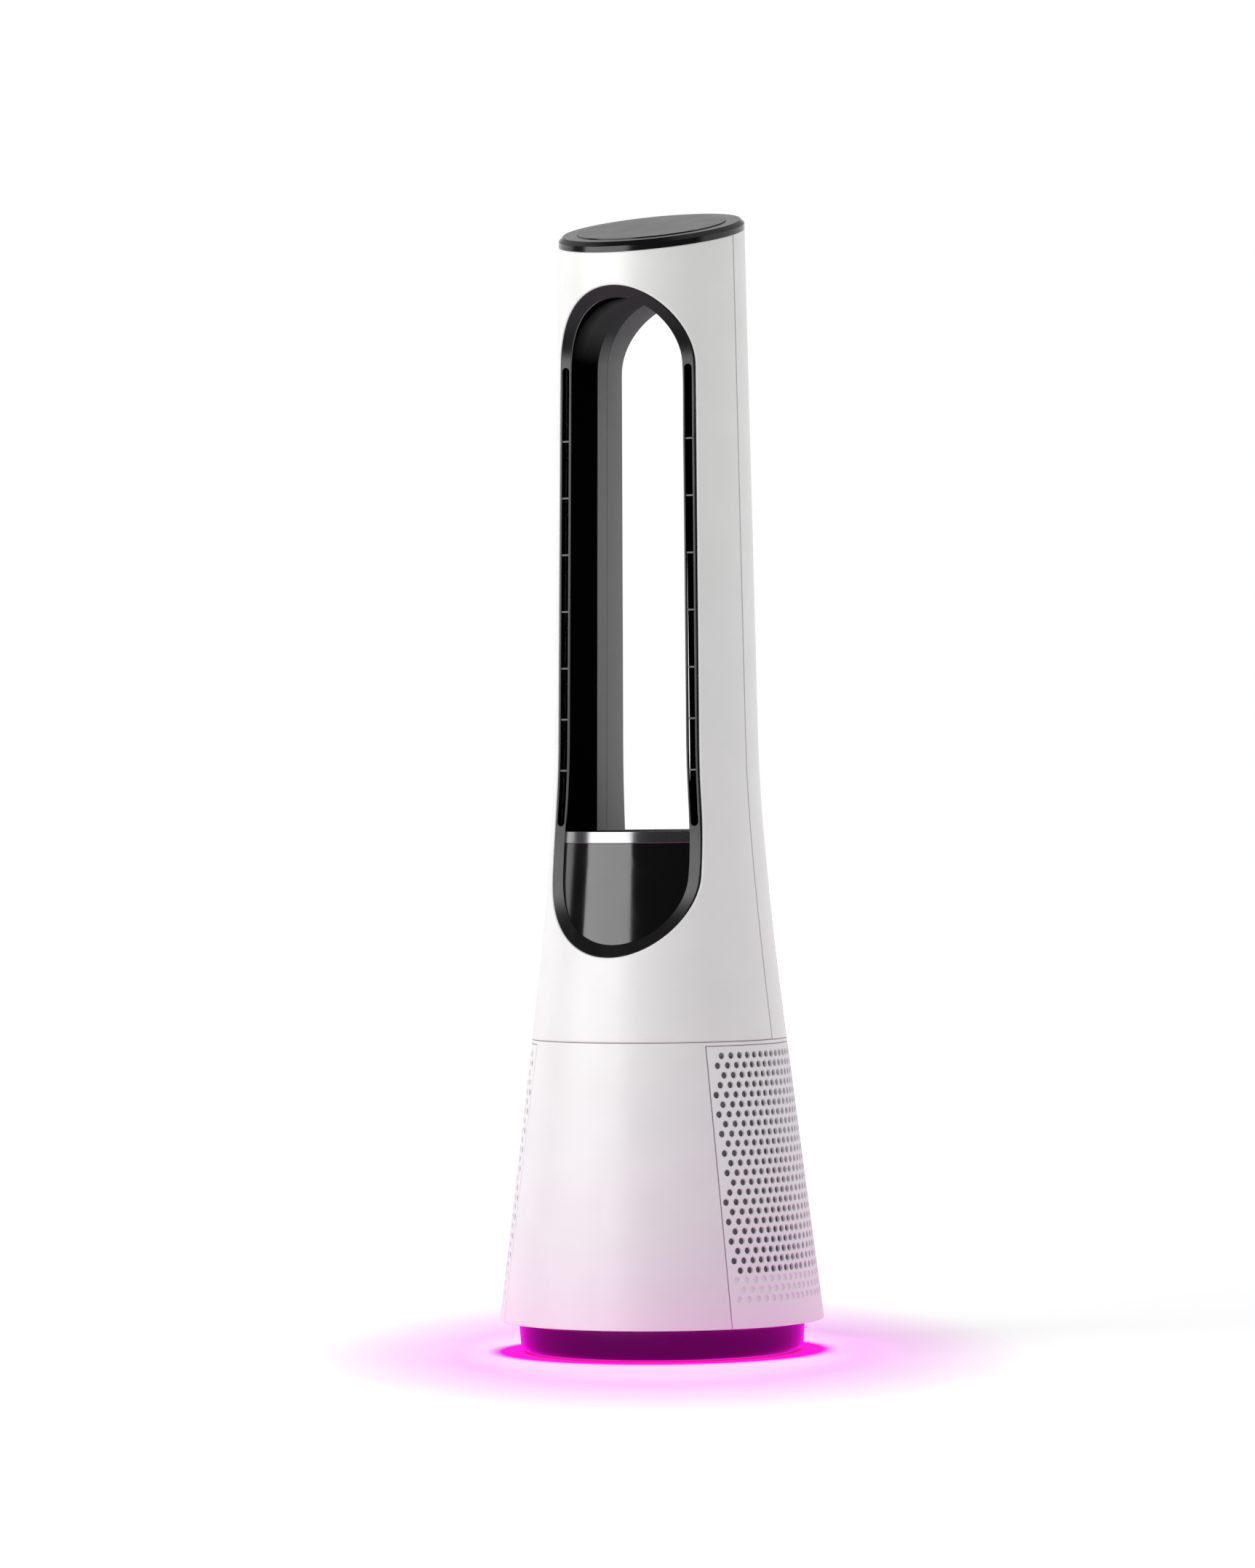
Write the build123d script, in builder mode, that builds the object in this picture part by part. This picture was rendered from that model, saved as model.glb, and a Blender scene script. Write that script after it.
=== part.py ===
from build123d import *
from math import atan, cos, degrees, pi, radians, sin, sqrt, tan
import os

# A bladeless tower fan. The frame has its origin on the fan's upright axis at the floor,
# +Z up and the air outlet facing -Y. All sizes are in millimetres.

# ---- outer body: a flared round tower cut off by a slanted top ----
skirt_z = 23.0            # lower edge of the housing
skirt_r = 115.8
seam_z = 223.4            # middle of the parting line between housing and column
seam_r = 91.2
column_z = 432.0          # above this height the column's side is straight
column_r = 72.75
flare_low = 0.45          # reach of the flare's two handles, as shares of its height
flare_high = 0.2167
crown_z = 795.5           # where the slanted top of the shells meets the axis
crown_r = 66.5
crown_tilt = 12.2         # degrees, low at the front
parting = 0.35            # width of the level parting line and of the cover's
side_parting = 0.8        # width of the upright one between the column's shells
side_seam_y = -5.0        # front and rear column shells meet here
wall = 2.5
lip = 1.6                 # thickness of the inner lips behind the parting lines
lip_reach = 5.0
far = 130.0               # beyond the body on every side, for cuts

# ---- air loop: the slanted ring round its front mouth, the duct through it ----
arch_r = 52.2             # half width of the arched top of the ring's outer edge
arch_rise = 57.6          # height of that arch, a little more than half a circle's
arch_drop = 95.5          # centre of that arch below the crown
waist_w = 54.3            # half width of the ring where its sides start to widen
waist_z = 440.0
bowl_r = 57.5             # round bottom of the ring's outer edge
bowl_z = 341.0
bezel_w = 8.2             # width of the slanted face, seen from the front
bezel_drop = 6.0          # how far its inner edge lies below the skin
bezel_depth = 7.0         # thickness at its outer edge
bezel_lip_t = 1.2         # thickness at its inner edge
bezel_step = 0.4          # the white shell stands proud of the ring by this much
mouth_round = 1.1         # rounding of the shell's edge round the ring
sill_z = 371.7            # floor of the air loop
sill_band = 8.0           # height of the band in front of that floor
sill_t = 4.0              # thickness of that band
tunnel_front_w = 44.5     # half width of the duct at tunnel_front_y, under its arch
tunnel_low_w = 48.8       # and at the ring's round bottom
tunnel_front_y = -44.6
tunnel_rear_w = 48.1      # half width at tunnel_rear_y, under its arch
tunnel_rear_y = 50.3
tunnel_joint_y = 22.0
tunnel_parting = 0.6
tunnel_wall = 2.0
slot_w = 5.6
slot_inset = 4.2          # slot's centre line from the ring's outer edge
slot_low_z = 378.3
slot_top_gap = 1.0        # upper end of the slots below the arch's centre
rib_start = 36.8          # first rib above the slots' lower end
rib_end = 20.0            # least length of slot above the last rib
rib_pitch = 36.3
rib_pitch_upper = 40.4
rib_h = 1.2
rib_depth = 1.4
rib_sink = 0.6            # ribs lie this far behind the ring's face
panel_t = 2.5
panel_gap = 0.3
display_board_w = 64.0
display_board_h = 34.0
display_board_drop = 5.0
guide_t = 1.6
guide_front_y = -34.0
guide_rear_y = 36.0

# ---- slanted top ----
rim_h = 4.0
rim_bevel = 2.9
glass_inset = 13.0
glass_t = 1.2
glass_rise = 0.6          # the glass stands proud of the rim
glass_ledge = 4.0
board_t = 1.6
crown_plate_t = 2.4

# ---- housing and its perforated rear cover ----
cover_edge_y = -63.0      # cover's front edge at its top
cover_edge_rake = 2.95    # degrees, the edge runs forward on its way down
cover_top_gap = 2.5       # strip of housing left above the cover
cover_wall = 2.2
vent_r = 6.2              # across corners of the six-sided openings, halved
vent_pitch = 19.0
vent_rows = 9
vent_top_drop = 21.4      # first row below the parting line
vent_low_rise = 12.6      # last row above the skirt
vent_half_angle = 114.0
flange_w = 6.0
flange_t = 2.2
filter_t = 5.0
filter_gap = 0.6
filter_low_rise = 17.0    # filter's lower end above the skirt
filter_top_drop = 6.4     # its upper end below the parting line

# ---- foot ----
skirt_overhang = 13.6     # the foot is smaller than the skirt by this much
foot_draft = 1.6          # and narrows by this much on its way down
foot_top_z = 21.5
foot_low_z = 0.9
foot_wall = 2.6
foot_round = 5.0
base_plate_t = 3.0
ballast_inset = 20.6      # these three are measured from the foot's lower edge
pad_inset = 22.6
base_screw_inset = 8.0
ballast_bore_r = 44.0
ballast_t = 8.5
pad_r = 7.0
pad_count = 5
screw_r = 1.5
screw_head_r = 3.0
screw_head_t = 2.0
thread_r = 1.3            # core of the screws' threads, cut into the plastic
thread_length = 7.0
base_screw_start = 54.0   # degrees, between the pads
base_screw_head_t = 1.2
base_screw_sink = 0.2
boss_wall = 1.6
inlet_z = 11.2
inlet_w = 14.0
inlet_h = 11.0
inlet_depth = 16.0
inlet_inset = 2.2         # its face below the foot's wall
inlet_recess_r = 4.4
inlet_recess_depth = 5.0
jack_r = 2.75
jack_depth = 9.0
jack_pin_r = 1.0

# ---- swing bearing and drive ----
fit_gap = 0.05            # radial running clearance of shafts
seat_gap = 0.3            # clearance between neighbours that move past each other
floor_z = 30.0
floor_t = 3.0
hub_r = 22.0
hub_h = 3.4
post_r = 15.0
post_bore_r = 11.0
post_flange_r = 36.0
post_flange_t = 3.0
post_screw_inset = 6.0
post_screw_start = 45.0   # degrees
post_screw_count = 4
glide_w = 8.0
gear_module = 1.5
ring_teeth = 40
pinion_teeth = 12
gear_t = 4.6
pinion_t = 4.0
backlash = 0.45
pressure_angle = 20.0
nut_r = 19.5
nut_t = 4.0
swing_motor_angle = 250.0
swing_motor_r = 14.0
swing_motor_t = 19.0
swing_shaft_r = 2.5
pinion_lift = 0.3         # pinion's lower side above the ring gear's
motor_lift = 3.4          # motor above the gears
bracket_t = 2.0
bracket_post_r = 3.4

# ---- light under the skirt ----
light_inset = 5.2         # its outer edge from the skirt's
light_w = 7.2
light_z = 24.4
light_t = 3.2

# ---- fan ----
stand_r = 78.0
stand_ring_w = 12.0
stand_posts = 6
stand_ring_t = 3.0
post_w = 9.0
mouth_drop = 131.4        # inlet lip below the parting line, the whole fan hangs from it
mouth_lip_t = 4.0
mouth_h = 14.0
casing_r = 66.0           # inner radius of the fan casing
casing_wall = 2.5
casing_h = 90.0
gasket_w = 4.0
gasket_t = 3.0
tip_gap = 1.6
blade_count = 9
blade_t = 1.6
impeller_rise = 20.0      # impeller above the inlet lip
impeller_h = 38.0
hub_low_r = 15.0
hub_high_r = 37.0
shaft_r = 3.0
vane_count = 11
vane_t = 1.8
pod_r = 38.0
pod_wall = 2.2
pod_rise = 62.0           # motor pod above the inlet lip
pod_h = 36.0
pod_cap_h = 20.0
motor_r = 30.0
motor_rise = 65.6
motor_h = 28.0
motor_wall = 1.2
bearing_r = 8.0
bearing_t = 4.0
rotor_r = 11.5
rotor_gap = 0.6
stator_teeth = 9
adaptor_inset = 11.2      # duct's upper end from the skin at the parting line
adaptor_wall = 2.0
deck_t = 4.0
deck_spigot_h = 7.0
deck_spigot_t = 3.0

# ---- control board ----
control_w = 64.0
control_h = 72.0
control_rise = 26.0       # its lower edge above the inlet lip
control_gap = 1.6         # parts on the board to the housing
control_boss_r = 3.2
control_hole_inset = 7.0
part_h = 8.0
capacitor_r = 5.0
chip_w = 16.0
terminal_w = 12.0
terminal_h = 7.0
terminal_x = 18.0
capacitor_rise = 20.0     # heights of the parts above the board's lower edge
chip_rise = 45.0
terminal_rise = 57.0


# ---- worked-out sizes ----
skirt_slope = (skirt_r - seam_r) / (seam_z - skirt_z)
column_slope = (column_r - crown_r) / (crown_z - column_z)
flare_h = column_z - seam_z
# control points of the flare, which is tangent to both straight sides
flare_curve = (
    (seam_r, seam_z),
    (seam_r - skirt_slope * flare_low * flare_h, seam_z + flare_low * flare_h),
    (column_r + column_slope * flare_high * flare_h, column_z - flare_high * flare_h),
    (column_r, column_z),
)
fill_low_z = skirt_z - 10.0
fill_top_z = crown_z + 60.0
arch_z = crown_z - arch_drop
slot_high_z = arch_z - slot_top_gap
rib_low_z = slot_low_z + rib_start
rib_upper_z = rib_low_z + 2 * rib_pitch
rib_count = 3 + int((slot_high_z - rib_end - rib_upper_z) / rib_pitch_upper)
# control points of the ring's side, from its waist to its round bottom
ring_swell = (waist_z - bowl_z) / 2
ring_curve = (
    (waist_w, waist_z),
    (waist_w + 0.3, waist_z - ring_swell),
    (bowl_r, bowl_z + ring_swell),
    (bowl_r, bowl_z),
)
housing_top_z = seam_z - parting / 2
column_low_z = seam_z + parting / 2
cover_top_z = housing_top_z - cover_top_gap
vent_top_z = seam_z - vent_top_drop
vent_row_pitch = (vent_top_z - skirt_z - vent_low_rise) / (vent_rows - 1)
filter_low_z = skirt_z + filter_low_rise
filter_high_z = seam_z - filter_top_drop
foot_r = skirt_r - skirt_overhang
foot_bottom_r = foot_r - foot_draft
base_screw_circle = foot_bottom_r - base_screw_inset
pad_circle = foot_bottom_r - pad_inset
light_outer_r = skirt_r - light_inset
light_inner_r = light_outer_r - light_w
mouth_z = seam_z - mouth_drop
casing_low_z = mouth_z + mouth_h
casing_top_z = casing_low_z + casing_h
impeller_z = mouth_z + impeller_rise
pod_z = mouth_z + pod_rise
motor_z = mouth_z + motor_rise
adaptor_top_r = seam_r - adaptor_inset
control_z = mouth_z + control_rise
gear_z = floor_z + floor_t + hub_h + seat_gap
gear_distance = gear_module * (ring_teeth + pinion_teeth) / 2 + 0.1
floor_top_z = floor_z + floor_t
rotor_z = motor_z + 7.0
rotor_h = motor_h - 14.0
deck_z = housing_top_z - deck_t


def cubic(values, t):
    """Value of a cubic curve at t, from its four control values."""
    a, b, c, d = values
    return (1 - t) ** 3 * a + 3 * t * (1 - t) ** 2 * b + 3 * t * t * (1 - t) * c + t ** 3 * d


def curve_at(points, z):
    """First coordinate of an upright cubic curve where its second is z."""
    across, heights = zip(*points)
    rising = heights[3] > heights[0]
    low, high = 0.0, 1.0
    for _ in range(40):
        t = (low + high) / 2
        low, high = (t, high) if (cubic(heights, t) < z) == rising else (low, t)
    return cubic(across, t)


def skin_r(z):
    """Radius of the outer skin at height z."""
    if z <= seam_z:
        return seam_r + skirt_slope * (seam_z - z)
    if z >= column_z:
        return column_r - column_slope * (z - column_z)
    return curve_at(flare_curve, z)


def body_fill(inset):
    """Solid of the whole tower, drawn in from its skin by inset."""
    with BuildPart() as fill:
        with BuildSketch(Plane.XZ):
            with BuildLine():
                Polyline((0, fill_low_z), (skin_r(fill_low_z) - inset, fill_low_z), (seam_r - inset, seam_z))
                Bezier(*[(r - inset, z) for r, z in flare_curve])
                top = (skin_r(fill_top_z) - inset, fill_top_z)
                Polyline((column_r - inset, column_z), top, (0, fill_top_z), (0, fill_low_z))
            make_face()
        revolve(axis=Axis.Z)
    return fill.part


def crown_plane(height):
    """Plane of the slanted top, raised along its normal by height."""
    tilt = radians(crown_tilt)
    top = Plane(origin=(0, 0, crown_z), x_dir=(1, 0, 0), z_dir=(0, -sin(tilt), cos(tilt)))
    return top.offset(height)


def slab(low, high, plane_at):
    """Slab between two heights over a plane function, wider than the whole tower."""
    with BuildPart() as layer:
        with BuildSketch(plane_at(low)):
            Rectangle(2 * fill_top_z, 2 * fill_top_z)
        extrude(amount=high - low)
    return layer.part


def level(height):
    """Horizontal plane at a height."""
    return Plane.XY.offset(height)


def facing(y):
    """Upright plane across the fan at y, with its normal to the rear."""
    return Plane(origin=(0, y, 0), x_dir=(-1, 0, 0), z_dir=(0, 1, 0))


def tube(outer, inner, low, high, mode=Mode.ADD):
    """Ring or disc between two heights, round the fan's axis, in the open part."""
    with BuildSketch(level(low)) as ring:
        Circle(outer)
        if inner > 0:
            Circle(inner, mode=Mode.SUBTRACT)
    extrude(ring.sketch, amount=high - low, mode=mode)


def band(outer, inner, *zones):
    """Wall between two insets from the skin, kept only inside every zone."""
    with BuildPart() as piece:
        add(body_fill(outer))
        if inner is not None:
            add(body_fill(inner), mode=Mode.SUBTRACT)
        for zone in zones:
            add(zone, mode=Mode.INTERSECT)
    return piece.part


def mouth_outline(inset):
    """Outer edge of the ring round the air loop, drawn in by inset, as a sketch on Plane.XZ."""
    arch = arch_r - inset
    bowl = bowl_r - inset
    with BuildSketch(Plane.XZ) as outline:
        with BuildLine():
            EllipticalCenterArc((0, arch_z), arch, arch_rise - inset, arc_size=180)
            RadiusArc((-bowl, bowl_z), (bowl, bowl_z), -bowl)
            for side in (-1, 1):
                Line((side * arch, arch_z), (side * (waist_w - inset), waist_z))
                Bezier(*[(side * (x - inset), z) for x, z in ring_curve])
        make_face()
    return outline.sketch


def mouth_prism(inset, low_y, high_y):
    """Prism of the mouth outline between two depths."""
    with BuildPart() as prism:
        extrude(mouth_outline(inset), amount=-low_y)
        if high_y > 0:
            extrude(mouth_outline(inset), amount=-high_y)
    return prism.part


def ring_side(z):
    """Half width of the ring's outer edge along its upright sides."""
    if z >= waist_z:
        return waist_w + (arch_r - waist_w) * (z - waist_z) / (arch_z - waist_z)
    return curve_at(ring_curve, z)


def bezel_stations():
    """Places along the right half of the ring's outer edge, each with its inward direction."""
    stations = []
    for step in range(11):
        angle = radians(90 - 9 * step)
        stations.append((arch_r * cos(angle), arch_z + arch_rise * sin(angle), -cos(angle), -sin(angle)))
    side_steps = 9
    for step in range(1, side_steps):
        z = arch_z + (bowl_z - arch_z) * step / side_steps
        stations.append((ring_side(z), z, -1.0, 0.0))
    for step in range(13):
        angle = radians(-7.5 * step)
        stations.append((bowl_r * cos(angle), bowl_z + bowl_r * sin(angle), -cos(angle), -sin(angle)))
    return stations


def slot_point(z):
    """Point on the right slot's centre line, in the plane of the mouth outline."""
    return (ring_side(z) - slot_inset, z)


def face_depth(x, z, drop):
    """Depth in Y of the skin, drawn in by drop, at a place on the front."""
    return -sqrt((skin_r(z) - drop) ** 2 - x * x)


def tunnel_fill(grow):
    """Solid of the tapered air duct, grown on every side by grow and longer than the body."""
    spread = (tunnel_rear_w - tunnel_front_w) / (tunnel_rear_y - tunnel_front_y)
    with BuildPart() as fill:
        for y in (-skirt_r, skirt_r):
            half = tunnel_front_w + (y - tunnel_front_y) * spread + grow
            low_half = half + tunnel_low_w - tunnel_front_w
            rise = half + arch_rise - arch_r
            with BuildSketch(Plane(origin=(0, y, 0), x_dir=(1, 0, 0), z_dir=(0, -1, 0))):
                with BuildLine():
                    Polyline((-half, arch_z), (-low_half, bowl_z), (low_half, bowl_z), (half, arch_z))
                    EllipticalCenterArc((0, arch_z), half, rise, arc_size=180)
                make_face()
        loft(ruled=True)
        split(bisect_by=level(sill_z - grow), keep=Keep.TOP)
    return fill.part


def on_skin(edge):
    """Whether the middle of an edge lies on the outer skin."""
    middle = edge @ 0.5
    return abs(sqrt(middle.X ** 2 + middle.Y ** 2) - skin_r(middle.Z)) < 0.1


def cover_plane(shift):
    """Raked plane along the cover's front edges, moved to the rear by shift."""
    rake = radians(cover_edge_rake)
    normal = (0, cos(rake), -sin(rake))
    return Plane(origin=(0, cover_edge_y, cover_top_z), x_dir=(1, 0, 0), z_dir=normal).offset(shift)


def gear_outline(teeth, thin, bore):
    """Spur gear as a sketch: involute flanks, thinned teeth and a round bore."""
    pitch_r = gear_module * teeth / 2
    base_r = pitch_r * cos(radians(pressure_angle))
    tip_r = pitch_r + 0.85 * gear_module
    root_r = pitch_r - 1.25 * gear_module
    involute_at_pitch = tan(radians(pressure_angle)) - radians(pressure_angle)
    half_tooth = pi / (2 * teeth) - thin / (2 * pitch_r)

    def flank_angle(r):
        """Half angle of a tooth at radius r."""
        slope = sqrt(max((r / base_r) ** 2 - 1, 0.0))
        return half_tooth + involute_at_pitch - (slope - atan(slope))

    start_r = max(base_r, root_r)
    radii = [start_r + (tip_r - start_r) * step / 4 for step in range(5)]
    points = []
    for tooth in range(teeth):
        middle = 2 * pi * tooth / teeth
        rise = [(r, middle - flank_angle(r)) for r in radii]
        fall = [(r, middle + flank_angle(r)) for r in reversed(radii)]
        foot_in = [(root_r, middle - flank_angle(start_r))]
        foot_out = [(root_r, middle + flank_angle(start_r))]
        for r, angle in foot_in + rise + fall + foot_out:
            points.append((r * cos(angle), r * sin(angle)))
    with BuildSketch() as gear:
        with BuildLine():
            Polyline(*points, close=True)
        make_face()
        Circle(bore, mode=Mode.SUBTRACT)
    return gear.sketch


def post_holes():
    """Places of the screws through the post's flange."""
    return PolarLocations(post_flange_r - post_screw_inset, post_screw_count, start_angle=post_screw_start)


def plate_holes():
    """Places of the screws through the base plate."""
    return PolarLocations(base_screw_circle, pad_count, start_angle=base_screw_start)


def save(piece, name):
    """Label a finished piece and write it."""
    piece.part.label = name
    export_step(piece.part, f"parts/{name}.step")


os.makedirs("parts", exist_ok=True)
skin = body_fill(0.0)
cavity = body_fill(wall)


# ================= foot =================
with BuildPart() as foot_shell:
    with BuildSketch(Plane.XZ):
        with BuildLine():
            Polyline((0, foot_top_z), (foot_r, foot_top_z), (foot_bottom_r, foot_low_z),
                     (0, foot_low_z), close=True)
        make_face()
    revolve(axis=Axis.Z)
    fillet(foot_shell.edges().group_by(Axis.Z)[0], radius=foot_round)
    chamfer(foot_shell.edges().filter_by(GeomType.CIRCLE).group_by(Axis.Z)[-1], length=0.6)
    with BuildSketch(level(foot_low_z)):
        Circle(foot_bottom_r - foot_round - 0.5)
    extrude(amount=base_plate_t, mode=Mode.SUBTRACT)
    hollow_z = foot_low_z + base_plate_t
    tube(foot_bottom_r - foot_wall - 2.5, 0, hollow_z, foot_top_z - foot_wall, Mode.SUBTRACT)
    tube(post_bore_r, 0, hollow_z, foot_top_z, Mode.SUBTRACT)
    # five screw bosses carry the steel base plate
    with BuildSketch(level(hollow_z)):
        with plate_holes():
            Circle(screw_head_r + boss_wall)
            Circle(thread_r, mode=Mode.SUBTRACT)
    extrude(amount=foot_top_z - foot_wall - hollow_z + 0.5)
    with BuildSketch(level(foot_top_z)):
        with post_holes():
            Circle(thread_r)
    extrude(amount=-foot_wall, mode=Mode.SUBTRACT)
    # opening for the power inlet
    with BuildSketch(facing(foot_r - inlet_depth - 8.0)):
        with Locations((0, inlet_z)):
            Rectangle(inlet_w + 0.2, inlet_h + 0.2)
    extrude(amount=inlet_depth + 12.0, mode=Mode.SUBTRACT)
save(foot_shell, "foot_shell")

with BuildPart() as base_plate:
    tube(foot_bottom_r - foot_round - 0.7, 0, foot_low_z, foot_low_z + base_plate_t)
    with BuildSketch(level(foot_low_z)):
        with plate_holes():
            Circle(screw_r + 0.1)
    extrude(amount=base_plate_t, mode=Mode.SUBTRACT)
    with BuildSketch(level(foot_low_z)):
        with plate_holes():
            Circle(screw_head_r + 0.2)
    extrude(amount=base_screw_head_t + base_screw_sink, mode=Mode.SUBTRACT)
save(base_plate, "base_plate")

with BuildPart() as ballast:
    tube(foot_bottom_r - ballast_inset, ballast_bore_r, hollow_z, hollow_z + ballast_t)
    fillet(ballast.edges().group_by(Axis.Z)[-1], radius=1.5)
save(ballast, "ballast")

with BuildPart() as rubber_feet:
    with BuildSketch(level(0)):
        with PolarLocations(pad_circle, pad_count, start_angle=90.0):
            Circle(pad_r)
    extrude(amount=foot_low_z)
    chamfer(rubber_feet.edges().group_by(Axis.Z)[0], length=0.5)
save(rubber_feet, "rubber_feet")

with BuildPart() as base_screws:
    with BuildSketch(level(foot_low_z + base_screw_sink)):
        with plate_holes():
            Circle(screw_head_r)
    extrude(amount=base_screw_head_t)
    with BuildSketch(level(foot_low_z + base_screw_sink)):
        with plate_holes():
            Circle(thread_r)
    extrude(amount=base_plate_t - base_screw_sink + thread_length)
save(base_screws, "base_screws")

inlet_face_y = foot_r - inlet_inset
with BuildPart() as power_inlet:
    with BuildSketch(facing(inlet_face_y - inlet_depth)):
        with Locations((0, inlet_z)):
            Rectangle(inlet_w, inlet_h)
    extrude(amount=inlet_depth)
    fillet(power_inlet.edges().filter_by(Axis.Y), radius=1.0)
    with BuildSketch(facing(inlet_face_y)):
        with Locations((0, inlet_z)):
            Circle(inlet_recess_r)
    extrude(amount=-inlet_recess_depth, mode=Mode.SUBTRACT)
    with BuildSketch(facing(inlet_face_y - inlet_recess_depth)):
        with Locations((0, inlet_z)):
            Circle(jack_r)
    extrude(amount=-jack_depth, mode=Mode.SUBTRACT)
    with BuildSketch(facing(inlet_face_y - inlet_recess_depth - jack_depth)):
        with Locations((0, inlet_z)):
            Circle(jack_pin_r)
    extrude(amount=jack_depth)
save(power_inlet, "power_inlet")


# ================= swing bearing and drive =================
post_top_z = gear_z + gear_t + nut_t
with BuildPart() as pivot_post:
    tube(post_flange_r, post_bore_r, foot_top_z, foot_top_z + post_flange_t)
    tube(post_r, post_bore_r, foot_top_z, post_top_z)
    chamfer(pivot_post.edges().group_by(Axis.Z)[-1].sort_by(SortBy.LENGTH)[-1], length=0.8)
    with BuildSketch(level(foot_top_z)):
        with post_holes():
            Circle(screw_r)
    extrude(amount=post_flange_t, mode=Mode.SUBTRACT)
save(pivot_post, "pivot_post")

with BuildPart() as post_screws:
    with BuildSketch(level(foot_top_z + post_flange_t)):
        with post_holes():
            Circle(screw_head_r)
    extrude(amount=screw_head_t)
    with BuildSketch(level(foot_top_z + post_flange_t)):
        with post_holes():
            Circle(thread_r)
    extrude(amount=-post_flange_t - foot_wall)
save(post_screws, "post_screws")

with BuildPart() as glide_ring:
    tube(post_r + glide_w, post_r + 0.1, foot_top_z + post_flange_t, floor_z - seat_gap)
    chamfer(glide_ring.edges().group_by(Axis.Z)[-1], length=0.6)
save(glide_ring, "glide_ring")

with BuildPart() as ring_gear:
    extrude(gear_outline(ring_teeth, backlash, post_r), amount=gear_t)
ring_gear.part = ring_gear.part.moved(Location((0, 0, gear_z)))
save(ring_gear, "ring_gear")

with BuildPart() as pivot_nut:
    with BuildSketch(level(gear_z + gear_t)):
        RegularPolygon(nut_r, 8)
        Circle(post_r, mode=Mode.SUBTRACT)
    extrude(amount=nut_t)
    chamfer(pivot_nut.edges().group_by(Axis.Z)[-1].filter_by(GeomType.LINE), length=0.6)
save(pivot_nut, "pivot_nut")

motor_at = (gear_distance * cos(radians(swing_motor_angle)), gear_distance * sin(radians(swing_motor_angle)))
with BuildPart() as swing_pinion:
    extrude(gear_outline(pinion_teeth, backlash, swing_shaft_r), amount=pinion_t)
# a space of the pinion faces the ring gear's nearest tooth
ring_tooth_angle = 360.0 / ring_teeth
ring_phase = (swing_motor_angle / ring_tooth_angle) % 1.0 * ring_tooth_angle
pinion_turn = swing_motor_angle + 180.0 + ring_phase * ring_teeth / pinion_teeth + 180.0 / pinion_teeth
pinion_z = gear_z + pinion_lift
pinion_place = Location((motor_at[0], motor_at[1], pinion_z), (0, 0, pinion_turn))
swing_pinion.part = swing_pinion.part.moved(pinion_place)
save(swing_pinion, "swing_pinion")

swing_motor_z = gear_z + gear_t + motor_lift
with BuildPart() as swing_shaft:
    with BuildSketch(level(pinion_z)):
        with Locations(motor_at):
            Circle(swing_shaft_r)
    extrude(amount=swing_motor_z + 5.3 - pinion_z)
save(swing_shaft, "swing_shaft")

with BuildPart() as swing_motor:
    with BuildSketch(level(swing_motor_z)):
        with Locations(motor_at):
            Circle(swing_motor_r)
    extrude(amount=swing_motor_t)
    chamfer(swing_motor.edges().group_by(Axis.Z)[-1], length=0.8)
    with BuildSketch(level(swing_motor_z)):
        with Locations(motor_at):
            Circle(swing_shaft_r + fit_gap)
    extrude(amount=8.0, mode=Mode.SUBTRACT)
save(swing_motor, "swing_motor")

with BuildPart() as motor_bracket:
    plate_z = swing_motor_z - bracket_t
    turn = Location(motor_at, (0, 0, swing_motor_angle))
    with BuildSketch(level(plate_z)):
        with Locations(turn):
            SlotOverall(2 * swing_motor_r + 16.0, 2 * swing_motor_r, rotation=90.0)
            Circle(7.0, mode=Mode.SUBTRACT)
            with Locations((-gear_distance, 0)):
                Circle(nut_r + 1.0, mode=Mode.SUBTRACT)
    extrude(amount=bracket_t)
    with BuildSketch(level(floor_top_z)):
        with Locations(turn):
            with Locations((6.0, swing_motor_r + 4.0), (6.0, -swing_motor_r - 4.0)):
                Circle(bracket_post_r)
    extrude(amount=plate_z - floor_top_z)
save(motor_bracket, "motor_bracket")


# ================= rotating floor and light =================
with BuildPart() as turntable_floor:
    tube(skin_r(floor_top_z) - wall - 0.2, 0, floor_z, floor_top_z)
    tube(hub_r, 0, floor_top_z, floor_top_z + hub_h)
    tube(post_r + fit_gap, 0, floor_z, floor_top_z + hub_h, Mode.SUBTRACT)
save(turntable_floor, "turntable_floor")

with BuildPart() as light_ring:
    tube(light_outer_r, light_inner_r, light_z, light_z + light_t)
    fillet(light_ring.edges().group_by(Axis.Z)[0], radius=1.0)
save(light_ring, "light_ring")

with BuildPart() as led_ring_board:
    tube(light_outer_r, light_inner_r, light_z + light_t, floor_z)
save(led_ring_board, "led_ring_board")


# ================= housing =================
cover_zone = slab(0.0, 2 * far, cover_plane)
cover_clear = slab(-parting, 2 * far, cover_plane)
with BuildPart() as lower_housing:
    add(skin)
    add(cavity, mode=Mode.SUBTRACT)
    split(bisect_by=level(skirt_z), keep=Keep.TOP)
    split(bisect_by=level(housing_top_z), keep=Keep.BOTTOM)
    add(band(-10.0, None, cover_clear, slab(fill_low_z, cover_top_z, level)), mode=Mode.SUBTRACT)
    # flanges behind the housing's side edges carry the cover
    flange_zone = slab(-parting - flange_t, -parting, cover_plane)
    flange_height = slab(floor_top_z + 0.2, deck_z - 0.2, level)
    add(band(wall - 0.6, wall + flange_w, flange_zone, flange_height))
save(lower_housing, "lower_housing")


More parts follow.
